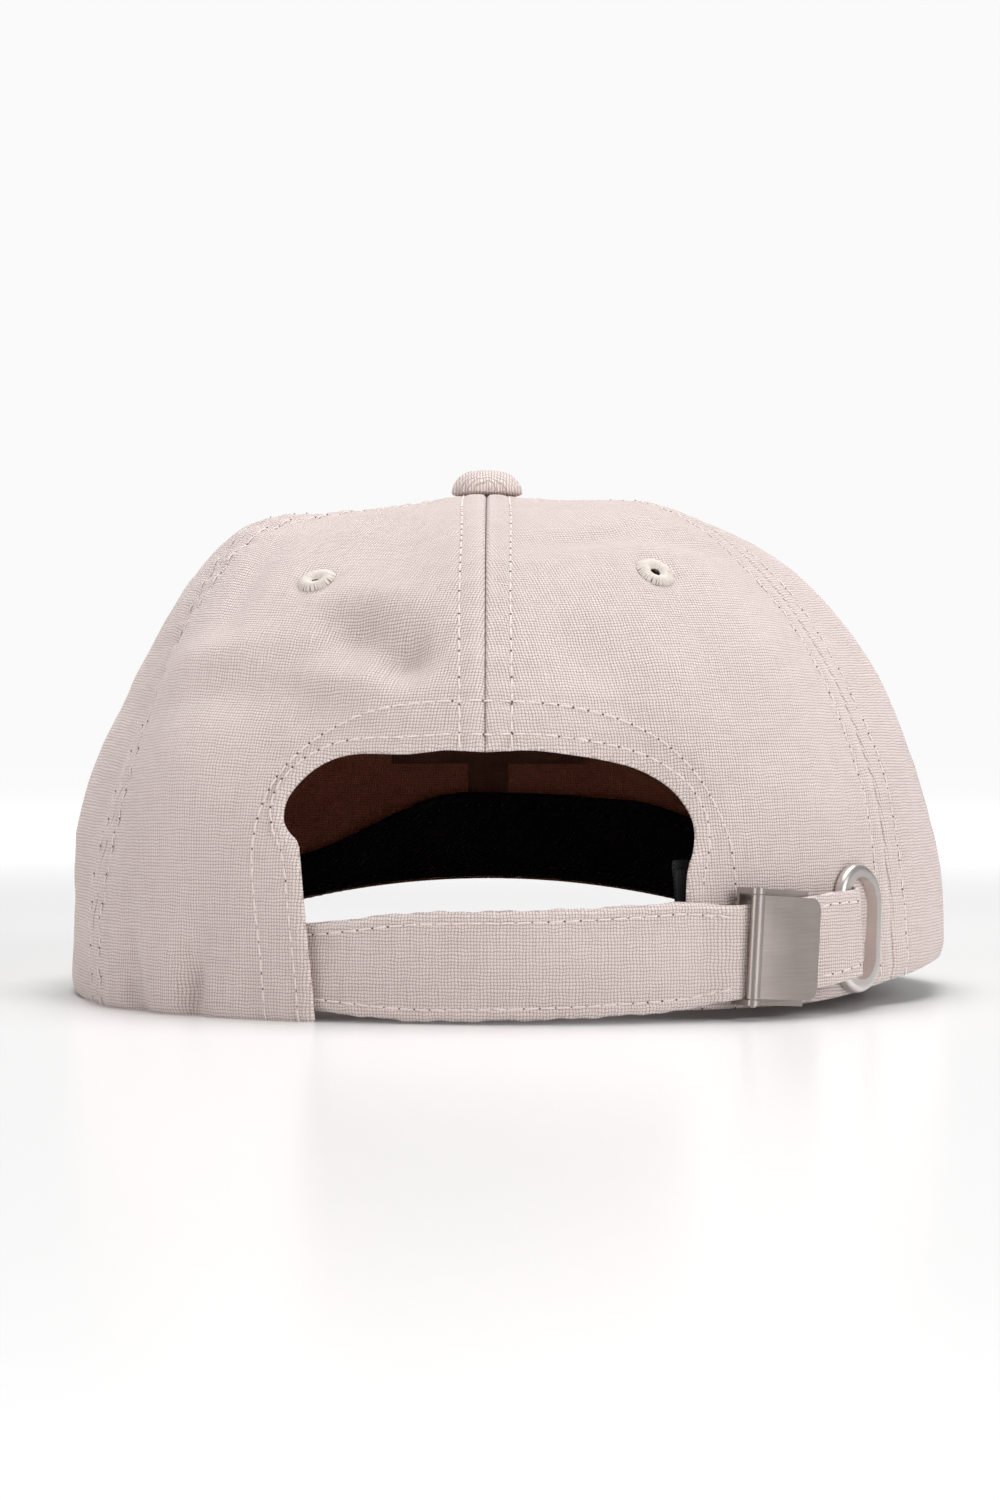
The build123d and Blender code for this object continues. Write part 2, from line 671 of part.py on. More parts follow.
def make_parts():
    parts = {}
    for name, middle in PANEL_NAMES.items():
        parts[f"panel_{name}"] = make_panel(middle)
        parts[f"eyelet_{name}"] = make_eyelet(middle)
    for name, middle in SEAM_NAMES.items():
        parts[f"seam_tape_{name}"] = make_tape(middle)
    parts["front_backing"] = make_backing()
    parts["opening_facing"] = make_facing()
    parts.update(make_button())
    parts.update(make_bill())
    parts["sweatband_pad"] = make_band(0.0, PAD_THICKNESS, 2.0)
    parts["sweatband_twill"] = make_band(PAD_THICKNESS + 0.2, TWILL_THICKNESS, 0.0)
    parts["strap"] = make_strap()
    parts["buckle_tab"] = make_buckle_tab()
    parts["buckle_base"] = make_buckle_base()
    parts["buckle_pin"] = make_buckle_pin()
    parts["buckle_cover"] = make_buckle_cover()
    parts["tuck_ring"] = make_ring()
    parts["tuck_ring_washer"] = make_washer()
    return parts


def main():
    os.makedirs("parts", exist_ok=True)
    for name, shape in make_parts().items():
        shape.label = name
        export_step(shape, f"parts/{name}.step")
        print(name, round(shape.volume, 2))


main()
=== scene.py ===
"""Looks of a soft six-panel baseball cap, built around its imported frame.

Lengths inside the classes are millimetres; meshes are written in metres. Angles round the crown
are degrees from the rear centre towards +X, and heights are above the table.
"""

import logging
import math
from dataclasses import dataclass, field
from typing import Iterable, Sequence

import bmesh
import bpy
import numpy as np
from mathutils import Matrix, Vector


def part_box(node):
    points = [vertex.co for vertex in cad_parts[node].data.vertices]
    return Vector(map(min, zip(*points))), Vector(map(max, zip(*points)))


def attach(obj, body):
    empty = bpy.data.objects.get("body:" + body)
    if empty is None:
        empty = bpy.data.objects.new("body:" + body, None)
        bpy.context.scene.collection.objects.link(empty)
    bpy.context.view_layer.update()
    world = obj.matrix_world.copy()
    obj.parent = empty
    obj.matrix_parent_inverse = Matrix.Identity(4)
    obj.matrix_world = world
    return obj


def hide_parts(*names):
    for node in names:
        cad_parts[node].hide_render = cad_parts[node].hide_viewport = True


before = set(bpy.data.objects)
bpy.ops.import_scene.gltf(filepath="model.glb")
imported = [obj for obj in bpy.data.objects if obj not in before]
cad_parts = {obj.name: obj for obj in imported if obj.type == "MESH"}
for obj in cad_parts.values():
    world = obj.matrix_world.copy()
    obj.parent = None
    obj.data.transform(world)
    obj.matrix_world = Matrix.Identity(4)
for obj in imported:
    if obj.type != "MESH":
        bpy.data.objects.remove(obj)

MM = 0.001
SMALLEST_SHEET = 0.01
CAP_BODY = "cap"
log = logging.getLogger("cap")

PANELS = {
    "rear_right": 30.0,
    "side_right": 90.0,
    "front_right": 150.0,
    "front_left": 210.0,
    "side_left": 270.0,
    "rear_left": 330.0,
}
SEAMS = {
    "rear": 0.0,
    "rear_right": 60.0,
    "front_right": 120.0,
    "front": 180.0,
    "front_left": 240.0,
    "rear_left": 300.0,
}


# ---------------------------------------------------------------- numbers


def smooth(value: np.ndarray, start: float, end: float) -> np.ndarray:
    """Ease from 0 at start to 1 at end.

    Args:
        value: numbers to ease.
        start: where the result leaves 0.
        end: where the result reaches 1.

    Returns:
        Array of shares from 0 to 1.
    """
    t = np.clip((np.asarray(value, float) - start) / (end - start), 0.0, 1.0)
    return t * t * (3.0 - 2.0 * t)


def hump(value: np.ndarray, centre: float, width: float) -> np.ndarray:
    """Bell curve of height 1."""
    return np.exp(-(((np.asarray(value, float) - centre) / width) ** 2))


def wrap(angle: np.ndarray) -> np.ndarray:
    """Angle folded to -180..180."""
    return (np.asarray(angle, float) + 180.0) % 360.0 - 180.0


def unit(rows: np.ndarray) -> np.ndarray:
    """Vectors scaled to length 1 along the last axis."""
    return rows / np.maximum(np.linalg.norm(rows, axis=-1, keepdims=True), 1e-9)


def clustered(count: int, pull: float) -> np.ndarray:
    """Values from 0 to 1, closer together near both ends.

    Args:
        count: how many values.
        pull: 0 for even spacing, towards 1 for tight ends.

    Returns:
        Increasing array of count values.
    """
    t = np.linspace(0.0, 1.0, count)
    return (1.0 - pull) * t + pull * (0.5 - 0.5 * np.cos(np.pi * t))


def cells_round(mask: np.ndarray) -> np.ndarray:
    """How many marked cells touch each point of a grid.

    Args:
        mask: truth value of every cell, one row and one column fewer than the points.

    Returns:
        Counts from 0 to 4, one for every point.
    """
    rows, cols = mask.shape
    count = np.zeros((rows + 1, cols + 1), int)
    for down in (0, 1):
        for across in (0, 1):
            count[down : down + rows, across : across + cols] += mask
    return count


@dataclass(frozen=True)
class Ridge:
    """Line of raised cloth beside an edge, or a groove when its height is negative."""

    height: float
    place: float
    width: float


def ridges(away: np.ndarray, rows: Iterable[Ridge]) -> np.ndarray:
    """Relief of ridges that run side by side.

    Args:
        away: distance from the edge.
        rows: the ridges.

    Returns:
        Heights with the shape of away.
    """
    return sum(row.height * hump(away, row.place, row.width) for row in rows)


class Ripple:
    """Seeded sum of plane waves: a smooth random relief over points in space."""

    def __init__(self, seed: int, longest: float, shortest: float, count: int = 26) -> None:
        """Draws the waves.

        Args:
            seed: fixes the draw.
            longest: longest wavelength in millimetres.
            shortest: shortest wavelength in millimetres.
            count: number of waves.
        """
        draw = np.random.default_rng(seed)
        heading = unit(draw.normal(size=(count, 3)))
        length = np.exp(draw.uniform(math.log(shortest), math.log(longest), count))
        self.wave = heading * (2 * math.pi / length)[:, None]
        self.phase = draw.uniform(0.0, 2 * math.pi, count)
        self.size = (length / longest) ** 0.6
        self.size /= math.sqrt(float((self.size**2).sum()) / 2)

    def __call__(self, points: np.ndarray) -> np.ndarray:
        """Relief at points, about -2 to 2 with a spread of 1."""
        return np.sin(points @ self.wave.T + self.phase) @ self.size


# ---------------------------------------------------------------- meshes


def recalculated(mesh: bpy.types.Mesh) -> bpy.types.Mesh:
    """Mesh with the normals of its closed shells turned outward.

    Args:
        mesh: mesh to repair.

    Returns:
        The same mesh.
    """
    work = bmesh.new()
    work.from_mesh(mesh)
    bmesh.ops.recalc_face_normals(work, faces=work.faces)
    work.to_mesh(mesh)
    work.free()
    return mesh


def new_object(name: str, mesh: bpy.types.Mesh) -> bpy.types.Object:
    """Object of that mesh, linked to the scene."""
    thing = bpy.data.objects.new(name, mesh)
    bpy.context.scene.collection.objects.link(thing)
    return thing


@dataclass
class Cloth:
    """Closed sheet of cloth between an outer and an inner grid of points.

    Fields:
        outer, inner: rows x columns x 3 points in millimetres.
        uv: rows x columns x 2 places on the flat cloth in millimetres.
        wear: rows x columns shares of rubbing, or None.
        keep: (rows - 1) x (columns - 1) mask of the cells that stay, or None.
        fold: how far the rim bulges, in millimetres.
        loop: whether the last column joins the first.
    """

    outer: np.ndarray
    inner: np.ndarray
    uv: np.ndarray
    wear: np.ndarray | None = None
    keep: np.ndarray | None = None
    fold: float = 0.25
    loop: bool = False

    def cells(self) -> np.ndarray:
        """Corner indices of the kept cells."""
        rows, cols = self.outer.shape[:2]
        index = np.arange(rows * cols).reshape(rows, cols)
        if self.loop:
            index = np.concatenate([index, index[:, :1]], axis=1)
        quads = np.stack(
            [index[:-1, :-1], index[:-1, 1:], index[1:, 1:], index[1:, :-1]], axis=-1
        )
        return quads[self.keep] if self.keep is not None else quads.reshape(-1, 4)

    def rim(self, quads: np.ndarray, points: np.ndarray) -> tuple[np.ndarray, np.ndarray]:
        """Open edges of the cells and, at each of their points, the way out of the sheet.

        Args:
            quads: corner indices of the cells.
            points: places of the outer grid.

        Returns:
            Pairs of point indices, and a unit direction for every point.
        """
        edges = np.concatenate([quads[:, [i, (i + 1) % 4]] for i in range(4)])
        owner = np.tile(np.arange(len(quads)), 4)
        key = np.sort(edges, axis=1)
        _, first, count = np.unique(key, axis=0, return_index=True, return_counts=True)
        open_edges = edges[first[count == 1]]
        middle = points[quads[owner[first[count == 1]]]].mean(axis=1)
        away = np.zeros_like(points)
        out = points[open_edges].mean(axis=1) - middle
        for corner in range(2):
            np.add.at(away, open_edges[:, corner], unit(out))
        return open_edges, unit(away)

    def build(self, name: str, materials: Sequence[bpy.types.Material]) -> bpy.types.Object:
        """Makes the object.

        Args:
            name: name of the object.
            materials: outer face, and inner face if it differs.

        Returns:
            The object, closed, with faces outward and place in its mesh.
        """
        outer = self.outer.reshape(-1, 3)
        inner = self.inner.reshape(-1, 3)
        quads = self.cells()
        open_edges, away = self.rim(quads, outer)
        total = len(outer)
        mid = (outer + inner) / 2 + away * self.fold
        points = np.concatenate([outer, inner, mid])
        one, two = open_edges[:, 0], open_edges[:, 1]
        near = np.stack([two, one, one + 2 * total, two + 2 * total], axis=1)
        far = np.stack(
            [two + 2 * total, one + 2 * total, one + total, two + total], axis=1
        )
        faces = np.concatenate([quads, quads[:, ::-1] + total, near, far])
        slot = np.zeros(len(faces), np.int32)
        if len(materials) > 1:
            slot[len(quads) : 2 * len(quads)] = 1
        used = np.unique(faces)
        renumber = np.full(len(points), -1)
        renumber[used] = np.arange(len(used))
        mesh = bpy.data.meshes.new(name)
        mesh.from_pydata((points[used] * MM).tolist(), [], renumber[faces].tolist())
        for material in materials:
            mesh.materials.append(material)
        mesh.polygons.foreach_set("material_index", slot)
        mesh.polygons.foreach_set("use_smooth", np.ones(len(faces), bool))
        flat = np.concatenate([self.uv.reshape(-1, 2)] * 3)[used]
        corner = np.zeros(len(mesh.loops), np.int32)
        mesh.loops.foreach_get("vertex_index", corner)
        layer = mesh.uv_layers.new(name="cloth")
        layer.data.foreach_set("uv", flat[corner].astype(np.float32).ravel())
        wear = np.zeros(total) if self.wear is None else self.wear.ravel()
        wear = np.concatenate([wear, wear * 0, np.maximum(wear, 0.7)])[used]
        mesh.attributes.new("wear", "FLOAT", "POINT").data.foreach_set(
            "value", wear.astype(np.float32)
        )
        mesh.validate()
        piece = new_object(f"{name}_cloth", recalculated(mesh))
        self.declare()
        return piece

    def declare(self) -> None:
        """Works out the flat size that its grid unrolls to, and does nothing more with it.
        """
        grid = self.outer
        if self.loop:
            grid = np.concatenate([grid, grid[:, :1]], axis=1)
        width = np.linalg.norm(np.diff(grid, axis=1), axis=2).sum(axis=1).max() * MM
        length = np.linalg.norm(np.diff(grid, axis=0), axis=2).sum(axis=0).max() * MM
        width, length = max(width, SMALLEST_SHEET), max(length, SMALLEST_SHEET)


# ---------------------------------------------------------------- crown


@dataclass(frozen=True)
class Dent:
    """Soft hollow (negative depth) or bulge in the crown, or a fold when it is narrow."""

    angle: float
    height: float
    across: float
    along: float
    depth: float
    tilt: float = 0.0


@dataclass(frozen=True)
class Tuck:
    """Short upright pucker above the hem."""

    angle: float
    depth: float
    slant: float


@dataclass
class CrownForm:
    """Shape of the crown: a rounded dome with the slack and folds of an unstiffened cap."""

    half_width: float = 93.0
    half_length: float = 98.5
    height: float = 105.5
    plan_power: float = 2.6
    rise_power: float = 2.5
    hole_radius: float = 5.5
    seam_gap: float = 0.3
    wall: float = 0.9
    arch_top: float = 51.0
    opening_points: tuple[tuple[float, float], ...] = (
        (-31.8, -4.0), (-32.1, 2.0), (-33.0, 12.4), (-33.9, 24.0), (-34.5, 30.4), (-35.1, 33.2),
        (-36.9, 35.2), (-38.0, 37.6), (-37.6, 41.2), (-35.6, 44.6), (-32.4, 47.8), (-28.4, 49.8),
        (-23.5, 50.6), (-14.5, 50.4), (-7.5, 51.0), (0.0, 50.6), (7.5, 50.8), (15.5, 50.1),
        (22.0, 49.2), (28.0, 47.9), (33.0, 45.6), (36.8, 42.4), (39.2, 38.6), (39.9, 35.0),
        (39.5, 31.4), (38.5, 28.2), (38.1, 23.4), (38.1, 12.0), (38.0, 0.0), (38.0, -4.0),
    )
    dents: tuple[Dent, ...] = (
        Dent(-11.0, 68.5, 5.5, 6.0, -4.2, 25.0),
        Dent(-19.0, 73.5, 9.0, 5.0, -2.9, -24.0),
        Dent(-15.0, 81.0, 9.0, 5.0, 1.0, -10.0),
        Dent(-21.0, 64.5, 12.0, 3.8, 1.5, -8.0),
        Dent(-40.0, 70.0, 16.0, 4.5, 1.4, 14.0),
        Dent(-37.0, 61.0, 14.0, 4.5, -1.2, 12.0),
        Dent(16.0, 67.0, 9.0, 8.0, -1.0, -20.0),
        Dent(31.0, 70.0, 16.0, 9.0, 0.8, 0.0),
        Dent(20.0, 93.0, 16.0, 3.5, -1.3, 12.0),
        Dent(40.0, 91.0, 16.0, 3.5, -0.9, -14.0),
        Dent(-44.0, 84.0, 4.0, 16.0, -1.2, 10.0),
        Dent(-62.0, 72.0, 6.0, 20.0, -2.2, 4.0),
        Dent(-68.0, 40.0, 6.0, 22.0, -1.7, -5.0),
        Dent(-47.0, 3.0, 3.0, 12.0, -2.2, 8.0),
        Dent(-37.0, 3.0, 3.2, 11.0, -2.2, -6.0),
        Dent(-42.0, 6.0, 3.6, 10.0, 0.9, 0.0),
        Dent(-56.0, 5.0, 5.0, 14.0, 0.8, 6.0),
        Dent(-40.0, 46.0, 9.0, 12.0, 1.0, 0.0),
        Dent(98.0, 60.0, 8.0, 22.0, -1.4, 8.0),
        Dent(132.0, 66.0, 14.0, 10.0, -1.7, -22.0),
        Dent(158.0, 58.0, 11.0, 12.0, -1.2, 20.0),
        Dent(206.0, 70.0, 15.0, 9.0, -1.6, 15.0),
        Dent(232.0, 52.0, 8.0, 18.0, -1.5, -8.0),
        Dent(255.0, 76.0, 12.0, 9.0, -1.3, 25.0),
        Dent(272.0, 34.0, 7.0, 20.0, -1.2, 4.0),
    )

    def __post_init__(self) -> None:
        """Takes the hem's size from the frame and tabulates the length of the profile."""
        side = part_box("panel_side_right")[1].x / MM
        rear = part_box("panel_rear_right")[1].z / MM
        self.half_width = max(self.half_width, side)
        self.height = max(self.height, rear)
        sweep = np.linspace(0.0, 90.0, 2001)
        reach, rise = self.profile(sweep)
        step = np.hypot(np.diff(reach * self.mean_radius), np.diff(rise * self.height))
        self.table_sweep = sweep
        self.table_length = np.concatenate([[0.0], np.cumsum(step)])
        levels = [-90, -70, -60, -50, -42, -34, -24, -14, -8, 0, 8, 16, 24, 32, 42, 52, 62, 74, 90]
        sag = [0, 0.2, 1.5, 2.8, 1.0, -1.9, -3.0, -2.8, -1.7, -1.2, -1.9, -1.8, -0.6, 0.8, 1.1, 0.8,
               1.1, 0.4, 0]
        self.roof_x = np.linspace(-100.0, 100.0, 401)
        window = np.hanning(19)
        rough = np.interp(self.roof_x, levels, sag)
        self.roof_z = np.convolve(rough, window / window.sum(), "same")
        self.broad = Ripple(11, 70.0, 24.0)
        self.fine = Ripple(12, 15.0, 6.0, 40)

    @property
    def mean_radius(self) -> float:
        """Mean of the hem's half width and half length."""
        return (self.half_width + self.half_length) / 2

    def profile(self, sweep: np.ndarray) -> tuple[np.ndarray, np.ndarray]:
        """Shares of the radius and of the height at a sweep of 0..90 degrees."""
        turn = np.radians(np.clip(sweep, 0.0, 90.0))
        reach = np.maximum(np.cos(turn), 0.0) ** (2 / self.plan_power)
        rise = np.sin(turn) ** (2 / self.rise_power)
        return reach, rise

    def sweep_at_height(self, height: np.ndarray) -> np.ndarray:
        """Sweep at which the wall is at that height."""
        share = np.clip(np.asarray(height, float) / self.height, 0.0, 1.0)
        return np.degrees(np.arcsin(share ** (self.rise_power / 2)))

    def sweep_at_radius(self, radius: float) -> float:
        """Sweep at which the dome has narrowed to that radius."""
        return math.degrees(math.acos((radius / self.mean_radius) ** (self.plan_power / 2)))

    def radius(self, sweep: np.ndarray) -> np.ndarray:
        """Mean radius at a sweep."""
        return np.maximum(self.profile(sweep)[0] * self.mean_radius, 1e-3)

    def length(self, sweep: np.ndarray) -> np.ndarray:
        """Length of cloth from the hem plane up to a sweep."""
        return np.interp(sweep, self.table_sweep, self.table_length)

    def sweep_at_length(self, run: np.ndarray) -> np.ndarray:
        """Sweep that a length of cloth above the hem plane reaches."""
        return np.interp(run, self.table_length, self.table_sweep)

    def base(self, angle: np.ndarray, sweep: np.ndarray, depth: np.ndarray) -> np.ndarray:
        """Points of the plain dome, depth inside its outer face.

        Args:
            angle: degrees round the crown.
            sweep: 0 at the hem plane, 90 at the top.
            depth: millimetres inside the outer face.

        Returns:
            Places, with the shape of the broadcast arguments.
        """
        turn = np.radians(angle)
        reach, rise = self.profile(sweep)
        x = (self.half_width - depth) * reach * np.sin(turn)
        y = -(self.half_length - depth) * reach * np.cos(turn)
        z = (self.height - depth) * rise
        return np.stack(np.broadcast_arrays(x, y, z), axis=-1)

    def outward(self, points: np.ndarray) -> np.ndarray:
        """Normals of the plain dome at points on it.

        Args:
            points: places on the plain dome.

        Returns:
            Unit directions.
        """
        x, y, z = points[..., 0], points[..., 1], np.maximum(points[..., 2], 0.0)
        ring = np.sqrt((x / self.half_width) ** 2 + (y / self.half_length) ** 2) + 1e-6
        pull = self.plan_power * ring ** (self.plan_power - 2)
        up = self.rise_power * (z / self.height) ** (self.rise_power - 1) / self.height
        return unit(
            np.stack([pull * x / self.half_width**2, pull * y / self.half_length**2, up], -1)
        )

    def quiet(self, angle: np.ndarray, height: np.ndarray) -> np.ndarray:
        """Share of slack allowed: none behind the buckle and ring, or where the bill joins.

        Args:
            angle: degrees round the crown.
            height: millimetres above the table.

        Returns:
            Shares from 0 to 1.
        """
        turn = wrap(angle)
        hardware = smooth(turn, 14.0, 24.0) * (1 - smooth(turn, 57.0, 68.0))
        hardware = hardware * (1 - smooth(height, 30.0, 46.0))
        bill = smooth(np.abs(turn), 104.0, 124.0) * (1 - smooth(height, 24.0, 42.0))
        return (1 - hardware) * (1 - bill)

    def slack(self, angle: np.ndarray, sweep: np.ndarray) -> np.ndarray:
        """How far the cloth stands off the plain dome, along its normal.

        Args:
            angle: degrees round the crown.
            sweep: 0 at the hem plane, 90 at the top.

        Returns:
            Offsets in millimetres.
        """
        angle, sweep = np.broadcast_arrays(angle, sweep)
        place = self.base(angle, sweep, 0.0)
        height = place[..., 2]
        along = self.length(sweep)
        total = 0.55 * self.broad(place) + 0.05 * self.fine(place)
        for dent in self.dents:
            up = along - self.length(self.sweep_at_height(dent.height))
            side = np.radians(wrap(angle - dent.angle)) * self.radius(sweep)
            turn = math.radians(dent.tilt)
            u = side * math.cos(turn) + up * math.sin(turn)
            v = up * math.cos(turn) - side * math.sin(turn)
            total = total + dent.depth * np.exp(-((u / dent.across) ** 2) - (v / dent.along) ** 2)
        top = 1 - smooth(sweep, 74.0, 86.0)
        return total * self.quiet(angle, height) * top

    def lean(self, points: np.ndarray, angle: np.ndarray) -> np.ndarray:
        """Shift of the whole soft crown: it spreads to the right and sits in on the left.

        Args:
            points: places on the plain dome.
            angle: their degrees round the crown.

        Returns:
            Shifts in millimetres.
        """
        height = points[..., 2]
        turn = wrap(angle)
        fade = 1 - smooth(np.abs(turn), 104.0, 150.0)
        right = smooth(turn, 56.0, 78.0) * fade
        left = smooth(-turn, 44.0, 74.0) * fade
        levels = [0.0, 20.0, 33.0, 46.0, 59.0, 72.0, 85.0, 92.0, 98.0, 105.5]
        out_right = [4.2, 3.8, 3.7, 3.4, 2.9, 2.4, 1.5, 0.6, 0.2, 0.0]
        in_left = [-5.6, -5.2, -4.4, -5.6, -7.2, -6.0, -3.0, -0.8, 0.4, 0.0]
        shift = np.zeros_like(points)
        shift[..., 0] = right * np.interp(height, levels, out_right)
        shift[..., 0] -= left * np.interp(height, levels, in_left)
        roof = np.interp(points[..., 0], self.roof_x, self.roof_z)
        shift[..., 2] = roof * smooth(height, 74.0, 94.0)
        return shift

    def surface(
        self, angle: np.ndarray, sweep: np.ndarray, lift: np.ndarray = 0.0
    ) -> tuple[np.ndarray, np.ndarray]:
        """Points of the soft crown and their outward directions.

        Args:
            angle: degrees round the crown.
            sweep: 0 at the hem plane, 90 at the top.
            lift: millimetres outside the outer face, negative for inside.

        Returns:
            Points and unit normals, with the shape of the broadcast arguments.
        """
        angle, sweep, lift = np.broadcast_arrays(
            np.asarray(angle, float), np.asarray(sweep, float), np.asarray(lift, float)
        )
        place = self.base(angle, sweep, 0.0)
        normal = self.outward(place)
        offset = self.slack(angle, sweep) + lift
        points = place + normal * offset[..., None] + self.lean(place, angle)
        points[..., 2] = np.maximum(points[..., 2], np.minimum(place[..., 2], 0.05))
        return points, normal

    def opening(self, grow: float, count: int = 900) -> np.ndarray:
        """Outline of the rear opening, pulled out of true by wear.

        Args:
            grow: how far outside the edge the line runs, in millimetres.
            count: number of points.

        Returns:
            Places as x and height, from the left foot over the arch to the right foot.
        """
        way = np.array(self.opening_points)
        last = len(way) - 1
        share = np.linspace(0.0, last, 1800)
        first = np.clip(share.astype(int), 0, last - 1)
        t = (share - first)[:, None]
        before, start = way[np.maximum(first - 1, 0)], way[first]
        end, after = way[first + 1], way[np.minimum(first + 2, last)]
        curve = 2 * start + (end - before) * t
        curve += (2 * before - 5 * start + 4 * end - after) * t**2
        curve += (3 * start - before - 3 * end + after) * t**3
        path = self.evenly(curve / 2, count)
        ahead = unit(np.gradient(path, axis=0))
        path = path + np.stack([-ahead[:, 1], ahead[:, 0]], axis=1) * grow
        if grow > 1.0:
            window = np.hanning(2 * int(9 * grow) + 3)
            pad = len(window) // 2
            ends = [np.repeat(path[:1], pad, 0), path, np.repeat(path[-1:], pad, 0)]
            wide = np.concatenate(ends)
            columns = [np.convolve(wide[:, i], window / window.sum(), "valid") for i in (0, 1)]
            path = np.stack(columns, axis=1)
        return self.evenly(path, count)

    @staticmethod
    def evenly(path: np.ndarray, count: int) -> np.ndarray:
        """Points at even steps along a flat path.

        Args:
            path: places as x and height.
            count: number of points.

        Returns:
            The new places.
        """
        gap = np.linalg.norm(np.diff(path, axis=0), axis=1)
        run = np.concatenate([[0.0], np.cumsum(gap)])
        even = np.linspace(0.0, run[-1], count)
        return np.stack([np.interp(even, run, path[:, i]) for i in (0, 1)], axis=1)

    def flat_to_crown(self, x: np.ndarray, height: np.ndarray) -> tuple[np.ndarray, np.ndarray]:
        """Angle and sweep of the rear wall's point at that x and height.

        Args:
            x: millimetres to the right of the rear centre.
            height: millimetres above the table.

        Returns:
            Angle and sweep in degrees.
        """
        sweep = self.sweep_at_height(np.maximum(height, 0.0))
        reach = self.profile(sweep)[0] * self.half_width
        return np.degrees(np.arcsin(np.clip(x / reach, -1.0, 1.0))), sweep


@dataclass
class BillForm:
    """Shape of the arched bill, and of the hem that climbs it."""

    crown: CrownForm
    half_width: float = 89.5
    reach: float = 68.5
    oval_half_length: float = 95.0
    corner_y: float = 46.0
    arch_radius: float = 205.0
    slope: float = 0.04
    thickness: float = 3.6
    gap: float = 0.3
    right_lift: float = 6.5
    placket_lift: float = 2.2
    left_lift: float = 2.0

    def __post_init__(self) -> None:
        """Places the oval of the front edge."""
        self.centre_y = self.crown.half_length + self.reach - self.oval_half_length

    def drop(self, x: np.ndarray) -> np.ndarray:
        """How far the arch falls at x."""
        return self.arch_radius - np.sqrt(self.arch_radius**2 - np.asarray(x, float) ** 2)

    def underside(self, x: np.ndarray, y: np.ndarray) -> np.ndarray:
        """Height of the underside of the bill."""
        rise = self.drop(self.half_width) - self.slope * (self.crown.half_length - self.centre_y)
        return rise + self.slope * (self.crown.half_length - y) - self.drop(x)

    def hem(self, angle: np.ndarray) -> np.ndarray:
        """Height of the crown's lower edge at an angle.

        Args:
            angle: degrees round the crown.

        Returns:
            Millimetres above the table.
        """
        edge = self.crown.base(angle, 0.0, 0.0)
        turn = wrap(angle)
        share = smooth(np.abs(turn), 75.0, 110.0)
        climb = share * np.maximum(self.underside(edge[..., 0], edge[..., 1]), 0.0)
        right = self.right_lift * smooth(turn, 38.0, 86.0)
        right = right + self.placket_lift * smooth(turn, 10.0, 21.0)
        right = right * (1 - smooth(turn, 104.0, 138.0))
        left = self.left_lift * smooth(-turn, 64.0, 92.0) * (1 - smooth(-turn, 104.0, 138.0))
        return np.maximum(climb, right + left)


# ---------------------------------------------------------------- finishes


def node(tree: bpy.types.NodeTree, kind: str, **values: object) -> bpy.types.Node:
    """Adds a node and sets its properties.

    Args:
        tree: tree to add to.
        kind: type of the node.
        values: its properties by name.

    Returns:
        The node.
    """
    made = tree.nodes.new(kind)
    for key, value in values.items():
        setattr(made, key, value)
    return made


def math_node(tree: bpy.types.NodeTree, operation: str, *inputs: object) -> bpy.types.NodeSocket:
    """Adds a Math node.

    Args:
        tree: tree to add to.
        operation: name of the operation.
        inputs: numbers or sockets, in order.

    Returns:
        Its output socket.
    """
    made = node(tree, "ShaderNodeMath", operation=operation)
    for place, value in enumerate(inputs):
        if isinstance(value, bpy.types.NodeSocket):
            tree.links.new(value, made.inputs[place])
        else:
            made.inputs[place].default_value = float(value)
    return made.outputs[0]


def group(name: str, inputs: dict[str, tuple[str, object]], outputs: dict[str, str]) -> tuple:
    """New shader node group with named sockets.

    Args:
        name: name of the group.
        inputs: socket name to its kind and default.
        outputs: socket name to its kind.

    Returns:
        The tree, its input node and its output node.
    """
    tree = bpy.data.node_groups.new(name, "ShaderNodeTree")
    for label, (kind, value) in inputs.items():
        made = tree.interface.new_socket(label, in_out="INPUT", socket_type=kind)
        if value is not None:
            made.default_value = value
    for label, kind in outputs.items():
        tree.interface.new_socket(label, in_out="OUTPUT", socket_type=kind)
    return tree, node(tree, "NodeGroupInput"), node(tree, "NodeGroupOutput")


